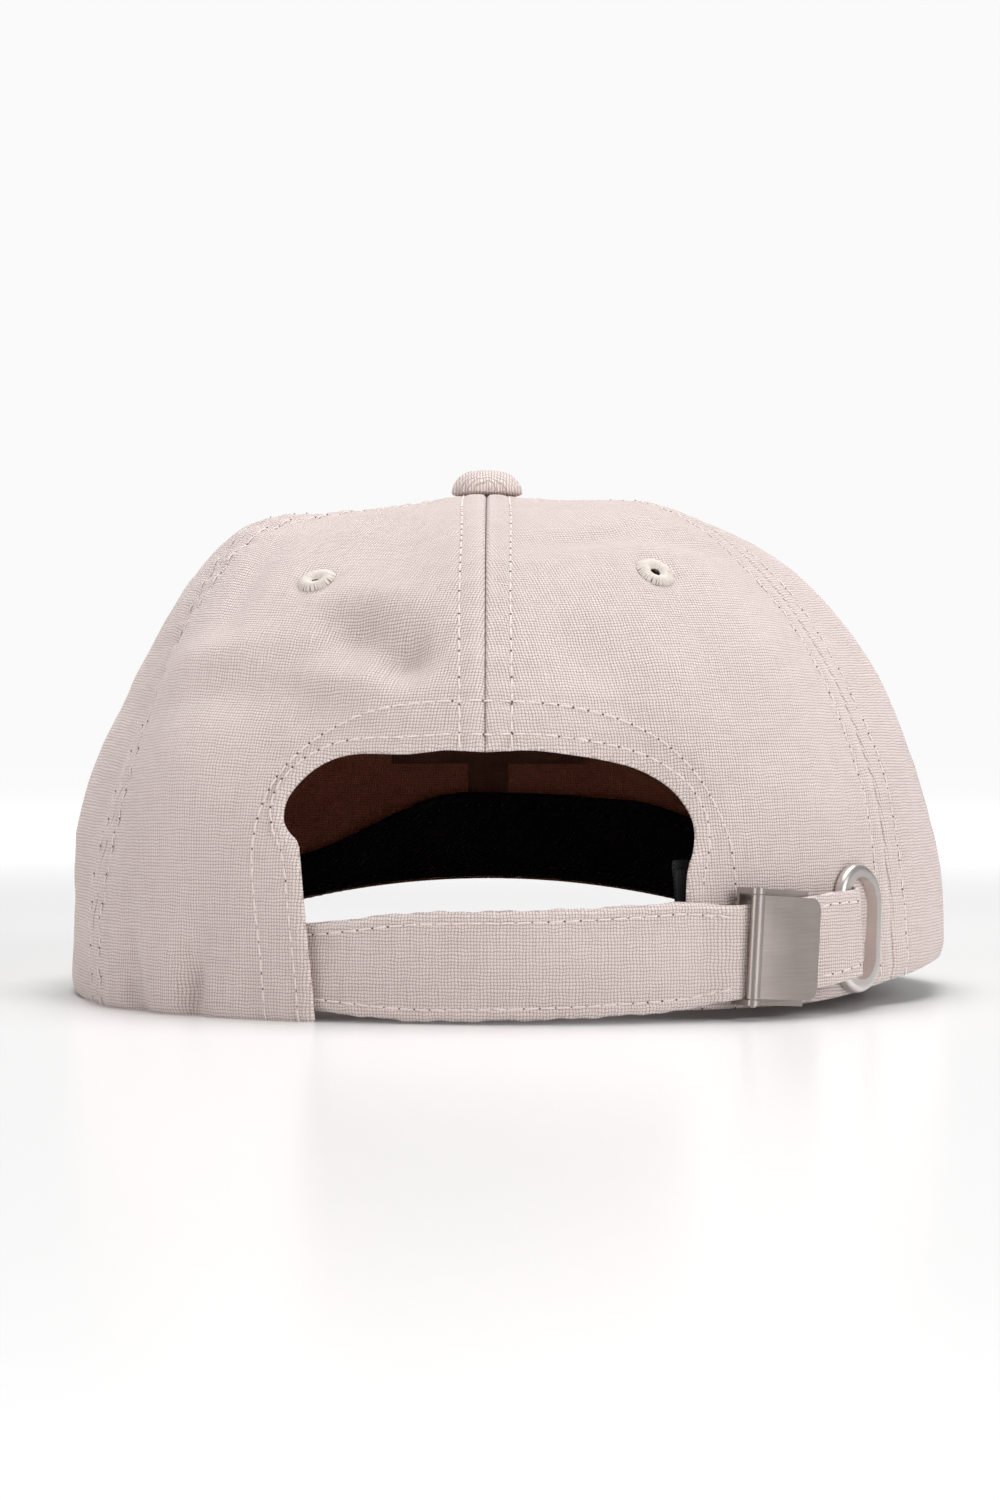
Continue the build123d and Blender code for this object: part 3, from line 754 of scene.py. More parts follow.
class Effects:
    """Shader node groups that several finishes share."""

    @staticmethod
    def weave() -> bpy.types.NodeTree:
        """Plain weave: threads that pass over and under each other in both directions."""
        tree, start, end = group(
            "plain_weave",
            {"Place": ("NodeSocketVector", None), "Pitch": ("NodeSocketFloat", 0.55)},
            {"Height": "NodeSocketFloat", "Streak": "NodeSocketFloat"},
        )
        split = node(tree, "ShaderNodeSeparateXYZ")
        drift = node(tree, "ShaderNodeTexNoise", noise_dimensions="2D")
        drift.inputs["Scale"].default_value = 0.35
        drift.inputs["Detail"].default_value = 1.0
        tree.links.new(start.outputs["Place"], drift.inputs["Vector"])
        nudge = node(tree, "ShaderNodeVectorMath", operation="SCALE")
        nudge.inputs["Scale"].default_value = 0.5
        tree.links.new(drift.outputs["Color"], nudge.inputs[0])
        moved = node(tree, "ShaderNodeVectorMath", operation="ADD")
        tree.links.new(start.outputs["Place"], moved.inputs[0])
        tree.links.new(nudge.outputs[0], moved.inputs[1])
        tree.links.new(moved.outputs[0], split.inputs[0])
        waves = []
        for axis in ("X", "Y"):
            share = math_node(tree, "DIVIDE", split.outputs[axis], start.outputs["Pitch"])
            waves.append(math_node(tree, "SINE", math_node(tree, "MULTIPLY", share, math.pi)))
        warp = math_node(tree, "ABSOLUTE", waves[0])
        weft = math_node(tree, "ABSOLUTE", waves[1])
        over = math_node(tree, "MULTIPLY", waves[0], waves[1])
        over = math_node(tree, "MULTIPLY_ADD", over, 3.0, 0.5)
        over = math_node(tree, "MINIMUM", math_node(tree, "MAXIMUM", over, 0.0), 1.0)
        gap = math_node(tree, "SUBTRACT", warp, weft)
        height = math_node(tree, "MULTIPLY_ADD", gap, over, weft)
        low = math_node(tree, "MINIMUM", warp, weft)
        height = math_node(tree, "MULTIPLY_ADD", low, 0.35, height)
        tree.links.new(math_node(tree, "MULTIPLY", height, 0.74), end.inputs["Height"])
        streaks = []
        for scale in ((2.4, 0.11, 1.0), (0.11, 2.4, 1.0)):
            stretch = node(tree, "ShaderNodeMapping")
            stretch.inputs["Scale"].default_value = scale
            tree.links.new(start.outputs["Place"], stretch.inputs["Vector"])
            grain = node(tree, "ShaderNodeTexNoise", noise_dimensions="2D")
            grain.inputs["Scale"].default_value = 1.0
            grain.inputs["Detail"].default_value = 2.0
            tree.links.new(stretch.outputs[0], grain.inputs["Vector"])
            streaks.append(grain.outputs["Fac"])
        both = math_node(tree, "MULTIPLY", math_node(tree, "ADD", *streaks), 0.5)
        tree.links.new(both, end.inputs["Streak"])
        return tree

    @staticmethod
    def twill() -> bpy.types.NodeTree:
        """Diagonal ribs of a twill."""
        tree, start, end = group(
            "twill_weave",
            {"Place": ("NodeSocketVector", None), "Pitch": ("NodeSocketFloat", 0.8)},
            {"Height": "NodeSocketFloat"},
        )
        split = node(tree, "ShaderNodeSeparateXYZ")
        tree.links.new(start.outputs["Place"], split.inputs[0])
        ribs = []
        for operation in ("ADD", "SUBTRACT"):
            slant = math_node(tree, operation, split.outputs["X"], split.outputs["Y"])
            turn = math_node(tree, "DIVIDE", slant, start.outputs["Pitch"])
            wave = math_node(tree, "SINE", math_node(tree, "MULTIPLY", turn, math.pi))
            ribs.append(math_node(tree, "ABSOLUTE", wave))
        tree.links.new(math_node(tree, "MULTIPLY_ADD", ribs[1], 0.3, ribs[0]), end.inputs["Height"])
        return tree

    @staticmethod
    def mottle() -> bpy.types.NodeTree:
        """Slow blotches over the object, as washing and handling leave."""
        tree, start, end = group(
            "mottle",
            {"Scale": ("NodeSocketFloat", 30.0), "Detail": ("NodeSocketFloat", 3.0)},
            {"Tone": "NodeSocketFloat"},
        )
        where = node(tree, "ShaderNodeTexCoord")
        noise = node(tree, "ShaderNodeTexNoise")
        tree.links.new(where.outputs["Object"], noise.inputs["Vector"])
        tree.links.new(start.outputs["Scale"], noise.inputs["Scale"])
        tree.links.new(start.outputs["Detail"], noise.inputs["Detail"])
        tree.links.new(noise.outputs["Fac"], end.inputs["Tone"])
        return tree


@dataclass(frozen=True)
class Finish:
    """What every finish has: a name, a dark and a light tone, and a roughness."""

    name: str
    dark: tuple[float, float, float]
    light: tuple[float, float, float]
    roughness: float = 0.9

    def start(self) -> tuple[bpy.types.Material, bpy.types.NodeTree, bpy.types.Node]:
        """Material with an empty Principled surface."""
        made = bpy.data.materials.new(self.name)
        made.use_nodes = True
        tree = made.node_tree
        surface = tree.nodes["Principled BSDF"]
        surface.inputs["Roughness"].default_value = self.roughness
        made.diffuse_color = (*self.light, 1.0)
        return made, tree, surface

    def tone(self, tree: bpy.types.NodeTree, share: bpy.types.NodeSocket) -> bpy.types.NodeSocket:
        """Colour between dark and light.

        Args:
            tree: tree of the material.
            share: socket from 0 for dark to 1 for light.

        Returns:
            The colour's socket.
        """
        mix = node(tree, "ShaderNodeMix", data_type="RGBA")
        tree.links.new(share, mix.inputs["Factor"])
        mix.inputs["A"].default_value = (*self.dark, 1.0)
        mix.inputs["B"].default_value = (*self.light, 1.0)
        return mix.outputs["Result"]


def use_group(
    tree: bpy.types.NodeTree, shared: bpy.types.NodeTree, values: dict[str, object]
) -> bpy.types.Node:
    """Places a shared group in a material and sets its inputs.

    Args:
        tree: tree of the material.
        shared: the group.
        values: numbers or sockets by the input's name.

    Returns:
        The group's node.
    """
    made = node(tree, "ShaderNodeGroup", node_tree=shared)
    for label, value in values.items():
        if isinstance(value, bpy.types.NodeSocket):
            tree.links.new(value, made.inputs[label])
        else:
            made.inputs[label].default_value = value
    return made


def add_bump(
    tree: bpy.types.NodeTree,
    surface: bpy.types.Node,
    height: bpy.types.NodeSocket,
    distance: float,
    strength: float,
) -> None:
    """Feeds a height, in metres of distance at full strength, to the surface's normal.

    Args:
        tree: tree of the material.
        surface: its Principled node.
        height: socket of the relief.
        distance: metres that a height of 1 stands for.
        strength: share of the effect.
    """
    bump = node(tree, "ShaderNodeBump")
    bump.inputs["Distance"].default_value = distance
    bump.inputs["Strength"].default_value = strength
    tree.links.new(height, bump.inputs["Height"])
    tree.links.new(bump.outputs[0], surface.inputs["Normal"])


@dataclass(frozen=True)
class Canvas(Finish):
    """Plain-woven cotton with washed high spots and painted shade in the gaps between its threads."""

    pitch: float = 0.62
    relief: float = 0.00028
    worn: tuple[float, float, float] = (0.80, 0.71, 0.67)
    fuzz: float = 0.25

    def build(self, effects: dict[str, bpy.types.NodeTree]) -> bpy.types.Material:
        """Makes the material from the shared effects.

        Args:
            effects: shader node groups by name.

        Returns:
            The material.
        """
        made, tree, surface = self.start()
        place = node(tree, "ShaderNodeUVMap", uv_map="cloth")
        weave = use_group(tree, effects["weave"], {"Place": place.outputs[0], "Pitch": self.pitch})
        blotch = use_group(tree, effects["mottle"], {"Scale": 28.0, "Detail": 4.0})
        # Colour follows the weave's height: the gaps between the threads are darker, painted shade;
        # the streaks and blotches are the cloth's own uneven tone.
        share = math_node(tree, "MULTIPLY_ADD", weave.outputs["Height"], 1.15, -0.54)
        share = math_node(tree, "MULTIPLY_ADD", weave.outputs["Streak"], 0.60, share)
        share = math_node(tree, "MULTIPLY_ADD", blotch.outputs["Tone"], 0.45, share)
        colour = self.tone(tree, share)
        rub = node(tree, "ShaderNodeAttribute", attribute_name="wear")
        worn = node(tree, "ShaderNodeMix", data_type="RGBA")
        much = math_node(tree, "MULTIPLY", rub.outputs["Fac"], weave.outputs["Height"])
        tree.links.new(math_node(tree, "MULTIPLY", much, 0.55), worn.inputs["Factor"])
        tree.links.new(colour, worn.inputs["A"])
        worn.inputs["B"].default_value = (*self.worn, 1.0)
        tree.links.new(worn.outputs["Result"], surface.inputs["Base Color"])
        surface.inputs["Sheen Weight"].default_value = self.fuzz
        surface.inputs["Sheen Roughness"].default_value = 0.6
        surface.inputs["Specular IOR Level"].default_value = 0.25
        add_bump(tree, surface, weave.outputs["Height"], self.relief, 0.85)
        return made


@dataclass(frozen=True)
class Twill(Finish):
    """Dense diagonal cloth, its grooves painted darker as shade."""

    pitch: float = 0.8

    def build(self, effects: dict[str, bpy.types.NodeTree]) -> bpy.types.Material:
        """Makes the material from the shared effects.

        Args:
            effects: shader node groups by name.

        Returns:
            The material.
        """
        made, tree, surface = self.start()
        place = node(tree, "ShaderNodeUVMap", uv_map="cloth")
        weave = use_group(tree, effects["twill"], {"Place": place.outputs[0], "Pitch": self.pitch})
        blotch = use_group(tree, effects["mottle"], {"Scale": 60.0, "Detail": 3.0})
        # Colour follows the ribs' height: the grooves between them are darker, painted shade, mottled
        # by slow blotches.
        share = math_node(tree, "MULTIPLY", weave.outputs["Height"], blotch.outputs["Tone"])
        tree.links.new(self.tone(tree, share), surface.inputs["Base Color"])
        surface.inputs["Specular IOR Level"].default_value = 0.2
        add_bump(tree, surface, weave.outputs["Height"], 0.00014, 0.8)
        return made


@dataclass(frozen=True)
class Metal(Finish):
    """Satin plated metal with fine brushing and rubbed patches."""

    brush: tuple[float, float, float] = (120.0, 120.0, 2600.0)

    def build(self, effects: dict[str, bpy.types.NodeTree]) -> bpy.types.Material:
        """Makes the material from the shared effects.

        Args:
            effects: shader node groups by name.

        Returns:
            The material.
        """
        made, tree, surface = self.start()
        where = node(tree, "ShaderNodeTexCoord")
        stretch = node(tree, "ShaderNodeMapping")
        stretch.inputs["Scale"].default_value = self.brush
        tree.links.new(where.outputs["Object"], stretch.inputs["Vector"])
        lines = node(tree, "ShaderNodeTexNoise")
        lines.inputs["Scale"].default_value = 1.0
        lines.inputs["Detail"].default_value = 3.0
        tree.links.new(stretch.outputs[0], lines.inputs["Vector"])
        blotch = use_group(tree, effects["mottle"], {"Scale": 140.0, "Detail": 4.0})
        share = math_node(tree, "MULTIPLY_ADD", lines.outputs["Fac"], 0.5, 0.0)
        share = math_node(tree, "MULTIPLY_ADD", blotch.outputs["Tone"], 0.5, share)
        tree.links.new(self.tone(tree, share), surface.inputs["Base Color"])
        rough = math_node(tree, "MULTIPLY_ADD", blotch.outputs["Tone"], 0.22, self.roughness - 0.1)
        tree.links.new(rough, surface.inputs["Roughness"])
        surface.inputs["Metallic"].default_value = 1.0
        add_bump(tree, surface, lines.outputs["Fac"], 0.00002, 0.5)
        return made


@dataclass(frozen=True)
class Plain(Finish):
    """Felted, moulded or spun stuff with only a fine grain."""

    grain: float = 900.0
    depth: float = 0.00006

    def build(self, effects: dict[str, bpy.types.NodeTree]) -> bpy.types.Material:
        """Makes the material from the shared effects.

        Args:
            effects: shader node groups by name.

        Returns:
            The material.
        """
        made, tree, surface = self.start()
        fine = use_group(tree, effects["mottle"], {"Scale": self.grain, "Detail": 2.0})
        slow = use_group(tree, effects["mottle"], {"Scale": 40.0, "Detail": 3.0})
        share = math_node(tree, "MULTIPLY_ADD", fine.outputs["Tone"], 0.6, 0.0)
        share = math_node(tree, "MULTIPLY_ADD", slow.outputs["Tone"], 0.4, share)
        tree.links.new(self.tone(tree, share), surface.inputs["Base Color"])
        surface.inputs["Specular IOR Level"].default_value = 0.25
        add_bump(tree, surface, fine.outputs["Tone"], self.depth, 0.7)
        return made


@dataclass
class Wardrobe:
    """All the materials of the cap."""

    canvas: bpy.types.Material = field(init=False)
    canvas_inside_painted_glow: bpy.types.Material = field(init=False)
    thread: bpy.types.Material = field(init=False)
    eyelet_thread: bpy.types.Material = field(init=False)
    tape: bpy.types.Material = field(init=False)
    twill: bpy.types.Material = field(init=False)
    dark_thread: bpy.types.Material = field(init=False)
    pad: bpy.types.Material = field(init=False)
    board: bpy.types.Material = field(init=False)
    nickel: bpy.types.Material = field(init=False)
    nickel_painted_lighter: bpy.types.Material = field(init=False)
    steel: bpy.types.Material = field(init=False)
    needle_hole_shade: bpy.types.Material = field(init=False)

    def __post_init__(self) -> None:
        """Builds the shared effects once and every finish from them."""
        effects = {
            "weave": Effects.weave(),
            "twill": Effects.twill(),
            "mottle": Effects.mottle(),
        }
        stone = dict(dark=(0.34, 0.25, 0.225), light=(0.77, 0.655, 0.625))
        # Rust brown of the inside faces: painted glow of light shining through the canvas, not the
        # cloth's own colour.
        glow_through_cloth = dict(dark=(0.50, 0.165, 0.09), light=(0.84, 0.36, 0.225))
        self.canvas = Canvas("canvas", **stone).build(effects)
        self.canvas_inside_painted_glow = Canvas(
            "canvas_inside_painted_glow", worn=(0.36, 0.18, 0.12), fuzz=0.1, **glow_through_cloth
        ).build(effects)
        self.thread = Plain("thread", (0.66, 0.57, 0.53), (0.90, 0.83, 0.79), 0.7).build(effects)
        self.eyelet_thread = Plain(
            "eyelet_thread", (0.50, 0.44, 0.40), (0.82, 0.76, 0.71), 0.6
        ).build(effects)
        # Dark colour of the needle-hole beads: painted shade in the holes.
        self.needle_hole_shade = Plain(
            "needle_hole_shade", (0.07, 0.05, 0.045), (0.15, 0.115, 0.10)
        ).build(effects)
        self.tape = Canvas(
            "seam_tape", (0.20, 0.075, 0.045), (0.42, 0.19, 0.12), pitch=0.4,
            worn=(0.3, 0.16, 0.11), fuzz=0.1,
        ).build(effects)
        self.twill = Twill("band_twill", (0.006, 0.006, 0.0065), (0.04, 0.04, 0.043)).build(effects)
        self.dark_thread = Plain(
            "dark_thread", (0.004, 0.004, 0.005), (0.03, 0.03, 0.034), 0.7
        ).build(effects)
        self.pad = Plain("band_pad", (0.01, 0.01, 0.01), (0.045, 0.045, 0.045)).build(effects)
        self.board = Plain("bill_board", (0.55, 0.55, 0.53), (0.72, 0.72, 0.7), 0.5).build(effects)
        self.nickel = Metal("nickel", (0.25, 0.215, 0.20), (0.44, 0.385, 0.36), 0.34).build(effects)
        # Lighter copy of the nickel for the tuck ring: painted light, the same metal as the buckle.
        self.nickel_painted_lighter = Metal(
            "nickel_painted_lighter", (0.56, 0.52, 0.50), (0.82, 0.77, 0.74), 0.32
        ).build(effects)
        self.steel = Metal("steel", (0.40, 0.39, 0.38), (0.62, 0.61, 0.6), 0.38).build(effects)


# ---------------------------------------------------------------- stitches


@dataclass
class Seamstress:
    """Lays thread along paths with one Geometry Nodes tree, with painted shade at the needle holes.
    """

    shadow: bpy.types.Material
    tree: bpy.types.NodeTree = field(init=False)

    def __post_init__(self) -> None:
        """Builds the tree: paths, even points, one bent thread on each, made real, and a dark bead
        sunk at every needle hole as painted shade.
        """
        tree = bpy.data.node_groups.new("stitch_rows", "GeometryNodeTree")
        face = tree.interface
        face.new_socket("Geometry", in_out="INPUT", socket_type="NodeSocketGeometry")
        sizes = {"Pitch": 0.0029, "Length": 0.0026, "Thickness": 0.00016, "Arch": 0.00024,
                 "Turn": 0.0, "Unevenness": 0.06, "Hole": 0.00025}
        for label, value in sizes.items():
            made = face.new_socket(label, in_out="INPUT", socket_type="NodeSocketFloat")
            made.default_value = value
        face.new_socket("Seed", in_out="INPUT", socket_type="NodeSocketInt")
        face.new_socket("Finish", in_out="INPUT", socket_type="NodeSocketMaterial")
        face.new_socket("Hole Shade Finish", in_out="INPUT", socket_type="NodeSocketMaterial")
        face.new_socket("Geometry", in_out="OUTPUT", socket_type="NodeSocketGeometry")
        start = node(tree, "NodeGroupInput")
        end = node(tree, "NodeGroupOutput")
        link = tree.links.new

        curve = node(tree, "GeometryNodeMeshToCurve")
        link(start.outputs["Geometry"], curve.inputs["Mesh"])
        even = node(tree, "GeometryNodeResampleCurve", mode="LENGTH")
        link(curve.outputs[0], even.inputs["Curve"])
        link(start.outputs["Pitch"], even.inputs["Length"])

        tangent = node(tree, "GeometryNodeInputTangent")
        lay = node(tree, "GeometryNodeInputNamedAttribute", data_type="FLOAT_VECTOR")
        lay.inputs["Name"].default_value = "lay"
        upright = node(tree, "FunctionNodeAlignRotationToVector", axis="Z")
        link(lay.outputs[0], upright.inputs["Vector"])
        along = node(tree, "FunctionNodeAlignRotationToVector", axis="X", pivot_axis="Z")
        link(upright.outputs[0], along.inputs["Rotation"])
        link(tangent.outputs[0], along.inputs["Vector"])
        chance = node(tree, "FunctionNodeRandomValue", data_type="FLOAT")
        chance.inputs["Min"].default_value = -1.0
        chance.inputs["Max"].default_value = 1.0
        link(start.outputs["Seed"], chance.inputs["Seed"])
        sway = math_node(tree, "MULTIPLY", chance.outputs[1], start.outputs["Unevenness"])
        spin = math_node(tree, "ADD", sway, start.outputs["Turn"])
        about = node(tree, "FunctionNodeAxisAngleToRotation")
        about.inputs["Axis"].default_value = (0.0, 0.0, 1.0)
        link(spin, about.inputs["Angle"])
        turned = node(tree, "FunctionNodeRotateRotation", rotation_space="LOCAL")
        link(along.outputs[0], turned.inputs["Rotation"])
        link(about.outputs[0], turned.inputs["Rotate By"])

        half = math_node(tree, "MULTIPLY", start.outputs["Length"], 0.5)
        dip = math_node(tree, "MULTIPLY", start.outputs["Thickness"], -1.3)
        ends = []
        for sign in (-1.0, 1.0):
            point = node(tree, "ShaderNodeCombineXYZ")
            link(math_node(tree, "MULTIPLY", half, sign), point.inputs["X"])
            link(dip, point.inputs["Z"])
            ends.append(point.outputs[0])
        crest = node(tree, "ShaderNodeCombineXYZ")
        link(math_node(tree, "MULTIPLY", start.outputs["Arch"], 2.0), crest.inputs["Z"])
        bow = node(tree, "GeometryNodeCurveQuadraticBezier")
        bow.inputs["Resolution"].default_value = 5
        link(ends[0], bow.inputs["Start"])
        link(crest.outputs[0], bow.inputs["Middle"])
        link(ends[1], bow.inputs["End"])
        ring = node(tree, "GeometryNodeCurvePrimitiveCircle")
        ring.inputs["Resolution"].default_value = 6
        link(start.outputs["Thickness"], ring.inputs["Radius"])
        thread = node(tree, "GeometryNodeCurveToMesh")
        thread.inputs["Fill Caps"].default_value = True
        link(bow.outputs[0], thread.inputs["Curve"])
        link(ring.outputs[0], thread.inputs["Profile Curve"])

        place = node(tree, "GeometryNodeInstanceOnPoints")
        link(even.outputs[0], place.inputs["Points"])
        link(thread.outputs[0], place.inputs["Instance"])
        link(turned.outputs[0], place.inputs["Rotation"])
        real = node(tree, "GeometryNodeRealizeInstances")
        link(place.outputs[0], real.inputs[0])
        round_off = node(tree, "GeometryNodeSetShadeSmooth")
        link(real.outputs[0], round_off.inputs[0])
        dress = node(tree, "GeometryNodeSetMaterial")
        link(round_off.outputs[0], dress.inputs["Geometry"])
        link(start.outputs["Finish"], dress.inputs["Material"])

        # Dark flattened bead at every needle hole: painted shade in the hole, in the material given
        # as the hole's shade finish.
        bead = node(tree, "GeometryNodeMeshUVSphere")
        bead.inputs["Segments"].default_value = 8
        bead.inputs["Rings"].default_value = 5
        link(start.outputs["Hole"], bead.inputs["Radius"])
        onward = node(tree, "ShaderNodeCombineXYZ")
        link(math_node(tree, "MULTIPLY", start.outputs["Pitch"], 0.5), onward.inputs["X"])
        link(math_node(tree, "MULTIPLY", start.outputs["Hole"], -0.25), onward.inputs["Z"])
        moved = node(tree, "GeometryNodeTransform")
        moved.inputs["Scale"].default_value = (1.0, 0.85, 0.5)
        link(bead.outputs["Mesh"], moved.inputs["Geometry"])
        link(onward.outputs[0], moved.inputs["Translation"])
        holes = node(tree, "GeometryNodeInstanceOnPoints")
        link(even.outputs[0], holes.inputs["Points"])
        link(moved.outputs[0], holes.inputs["Instance"])
        link(along.outputs[0], holes.inputs["Rotation"])
        solid = node(tree, "GeometryNodeRealizeInstances")
        link(holes.outputs[0], solid.inputs[0])
        shade = node(tree, "GeometryNodeSetMaterial")
        link(solid.outputs[0], shade.inputs["Geometry"])
        link(start.outputs["Hole Shade Finish"], shade.inputs["Material"])
        both = node(tree, "GeometryNodeJoinGeometry")
        link(shade.outputs[0], both.inputs[0])
        link(dress.outputs[0], both.inputs[0])
        link(both.outputs[0], end.inputs["Geometry"])
        self.tree = tree

    def sew(
        self,
        name: str,
        paths: Iterable[tuple[np.ndarray, np.ndarray]],
        finish: bpy.types.Material,
        sizes: dict[str, float],
    ) -> bpy.types.Object:
        """Lays stitches along paths.

        Args:
            name: name of the piece.
            paths: points and normals of each row, in millimetres.
            finish: material of the thread.
            sizes: named inputs of the tree that differ from its defaults.

        Returns:
            A plain mesh object of all the stitches.
        """
        points: list[np.ndarray] = []
        lays: list[np.ndarray] = []
        edges: list[tuple[int, int]] = []
        for path, lay in paths:
            first = sum(len(p) for p in points)
            points.append(path)
            lays.append(lay)
            edges += [(first + i, first + i + 1) for i in range(len(path) - 1)]
        mesh = bpy.data.meshes.new(name + "_rows")
        mesh.from_pydata((np.concatenate(points) * MM).tolist(), edges, [])
        mesh.attributes.new("lay", "FLOAT_VECTOR", "POINT").data.foreach_set(
            "vector", np.concatenate(lays).astype(np.float32).ravel()
        )
        rows = new_object(name + "_rows", mesh)
        work = rows.modifiers.new("stitches", "NODES")
        work.node_group = self.tree
        ids = {
            item.name: item.identifier
            for item in self.tree.interface.items_tree
            if item.item_type == "SOCKET" and item.in_out == "INPUT"
        }
        for label, value in sizes.items():
            work[ids[label]] = value
        work[ids["Finish"]] = finish
        work[ids["Hole Shade Finish"]] = self.shadow
        graph = bpy.context.evaluated_depsgraph_get()
        made = bpy.data.meshes.new_from_object(rows.evaluated_get(graph), depsgraph=graph)
        bpy.data.objects.remove(rows)
        made.name = name
        for spare in [a.name for a in made.attributes if a.name == "lay"]:
            made.attributes.remove(made.attributes[spare])
        piece = new_object(name, recalculated(made))
        log.info("%s: %d faces", name, len(made.polygons))
        return piece


def hand_over(
    piece: bpy.types.Object, nodes: Sequence[str] = ()
) -> bpy.types.Object:
    """Gives a piece of cloth or thread the cap's body and the CAD nodes it stands for.

    Args:
        piece: the object.
        nodes: CAD nodes that it replaces.

    Returns:
        The same object.
    """
    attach(piece, CAP_BODY)
    if nodes:
        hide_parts(*nodes)
    log.info("piece %s", piece.name)
    return piece


# ---------------------------------------------------------------- sub-assemblies


@dataclass
class Crown:
    """Six panels, their seams, tapes, eyelets and the binding round the rear opening."""

    form: CrownForm
    bill: BillForm
    cloth: Wardrobe
    sewing: Seamstress
    columns: int = 104
    rows: int = 132
    row_gap: float = 5.0
    edge_row: float = 2.6
    outer_row: float = 9.0
    tape_width: float = 10.0
    eyelet_height: float = 85.0
    eyelet_radius: float = 2.6
    hole_radius: float = 1.5
    backing_heights: tuple[float, float] = (48.0, 82.0)
    backing_half_width: float = 25.0
    facing_width: float = 8.8
    button_rim: float = 0.28
    hem_tucks: tuple[Tuck, ...] = (
        Tuck(-27.5, 0.5, 0.15), Tuck(-37.0, 0.8, -0.2), Tuck(-41.5, 0.6, 0.1),
        Tuck(-48.5, 0.85, 0.25), Tuck(-56.0, 0.6, -0.1), Tuck(34.0, 0.35, 0.2),
        Tuck(52.0, 0.4, -0.2),
    )
    seam_ridges: tuple[Ridge, ...] = (
        Ridge(-0.60, 0.0, 0.42), Ridge(0.14, 2.6, 1.7), Ridge(-0.24, row_gap, 0.7),
    )
    edge_ridges: tuple[Ridge, ...] = (
        Ridge(-0.55, 0.0, 0.7), Ridge(0.24, 1.5, 1.0), Ridge(-0.20, edge_row, 0.55),
        Ridge(-0.17, outer_row, 0.7), Ridge(0.10, 6.0, 2.4),
    )
    hem_ridges: tuple[Ridge, ...] = (Ridge(-0.45, 0.0, 1.0), Ridge(0.15, 2.4, 1.5))

    def __post_init__(self) -> None:
        """Keeps the outline of the opening at hand."""
        self.outline = self.form.opening(0.0)

    def edge_distance(self, angle: np.ndarray, sweep: np.ndarray) -> np.ndarray:
        """Distance to the edge of the rear opening, negative inside it, large elsewhere.

        Args:
            angle: degrees round the crown.
            sweep: sweep of each point.

        Returns:
            Millimetres, with the shape of the arguments.
        """
        place = self.form.base(angle, sweep, 0.0)
        flat = place[..., [0, 2]].reshape(-1, 2)
        rear = (place[..., 1].ravel() < -30) & (np.abs(flat[:, 0]) < 62) & (flat[:, 1] < 76)
        result = np.full(len(flat), 99.0)
        near = flat[rear]
        if len(near):
            gap = np.linalg.norm(near[:, None, :] - self.outline[None, :, :], axis=2)
            away = gap.min(axis=1)
            inside = self.inside(near)
            result[rear] = np.where(inside, -away, away)
        return result.reshape(place.shape[:-1])

    def inside(self, flat: np.ndarray) -> np.ndarray:
        """Whether flat points lie in the opening, by the crossings of a ray to the right.

        Args:
            flat: places as x and height.

        Returns:
            One truth value a place.
        """
        x, z = flat[:, 0], flat[:, 1]
        a = self.outline
        b = np.roll(a, -1, axis=0)
        crossing = (a[None, :, 1] > z[:, None]) != (b[None, :, 1] > z[:, None])
        run = (b[:, 0] - a[:, 0])[None, :] * (z[:, None] - a[None, :, 1])
        run = run / np.where(b[:, 1] == a[:, 1], 1e-9, b[:, 1] - a[:, 1])[None, :]
        hits = crossing & (x[:, None] < run + a[None, :, 0])
        return hits.sum(axis=1) % 2 == 1

    def relief(self, angle: np.ndarray, sweep: np.ndarray) -> tuple[np.ndarray, np.ndarray]:
        """Small relief of the sewn cloth, and how rubbed it is.

        Args:
            angle: degrees round the crown.
            sweep: sweep of each point.

        Returns:
            Lift in millimetres and wear from 0 to 1.
        """
        angle, sweep = np.broadcast_arrays(np.asarray(angle, float), np.asarray(sweep, float))
        radius = self.form.radius(sweep)
        run = self.form.length(sweep)
        off = np.abs(wrap(angle * 6.0)) / 6.0
        seam = np.radians(off) * radius
        seam_number = np.round(np.asarray(angle) / 60.0)
        pucker = np.sin(run * 2 * math.pi / 6.3 + seam_number * 2.1 + np.sin(run / 4.7) * 1.6)
        lift = ridges(seam, self.seam_ridges)
        loose = 0.13 + 0.22 * hump(wrap(angle), -60.0, 22.0)
        lift = lift + loose * pucker * hump(seam, 4.2, 3.2)
        edge = self.edge_distance(angle, sweep)
        ripple = np.sin(angle * radius / 57.3 * 2 * math.pi / 5.2 + run * 0.9)
        lift = lift + ridges(edge, self.edge_ridges) + 0.07 * ripple * hump(edge, 5.0, 4.0)
        hem = run - self.form.length(self.form.sweep_at_height(self.bill.hem(angle)))
        lift = lift + ridges(hem, self.hem_ridges)
        for tuck in self.hem_tucks:
            aside = np.radians(wrap(angle - tuck.angle)) * radius + tuck.slant * hem
            fold = hump(aside, 0.0, 1.9) - 0.45 * hump(aside, 3.6, 1.8)
            share = (0.3 + 0.7 * smooth(hem, 0.5, 2.5)) * (1 - smooth(hem, 5.0, 15.0))
            lift = lift - tuck.depth * fold * share
        wear = 0.8 * hump(edge, 0.4, 0.9) + 0.6 * hump(seam, 1.3, 0.8) + 0.7 * hump(hem, 0.6, 1.0)
        return lift, np.clip(wear, 0.0, 1.0)

    def outer(self, angle: np.ndarray, sweep: np.ndarray, lift: float = 0.0) -> tuple:
        """Points and normals on the sewn outer face."""
        small, _ = self.relief(angle, sweep)
        return self.form.surface(angle, sweep, small + lift)

    def hem_sweep(self, angle: np.ndarray) -> np.ndarray:
        """Sweep of the hem at an angle."""
        return self.form.sweep_at_height(self.bill.hem(angle))

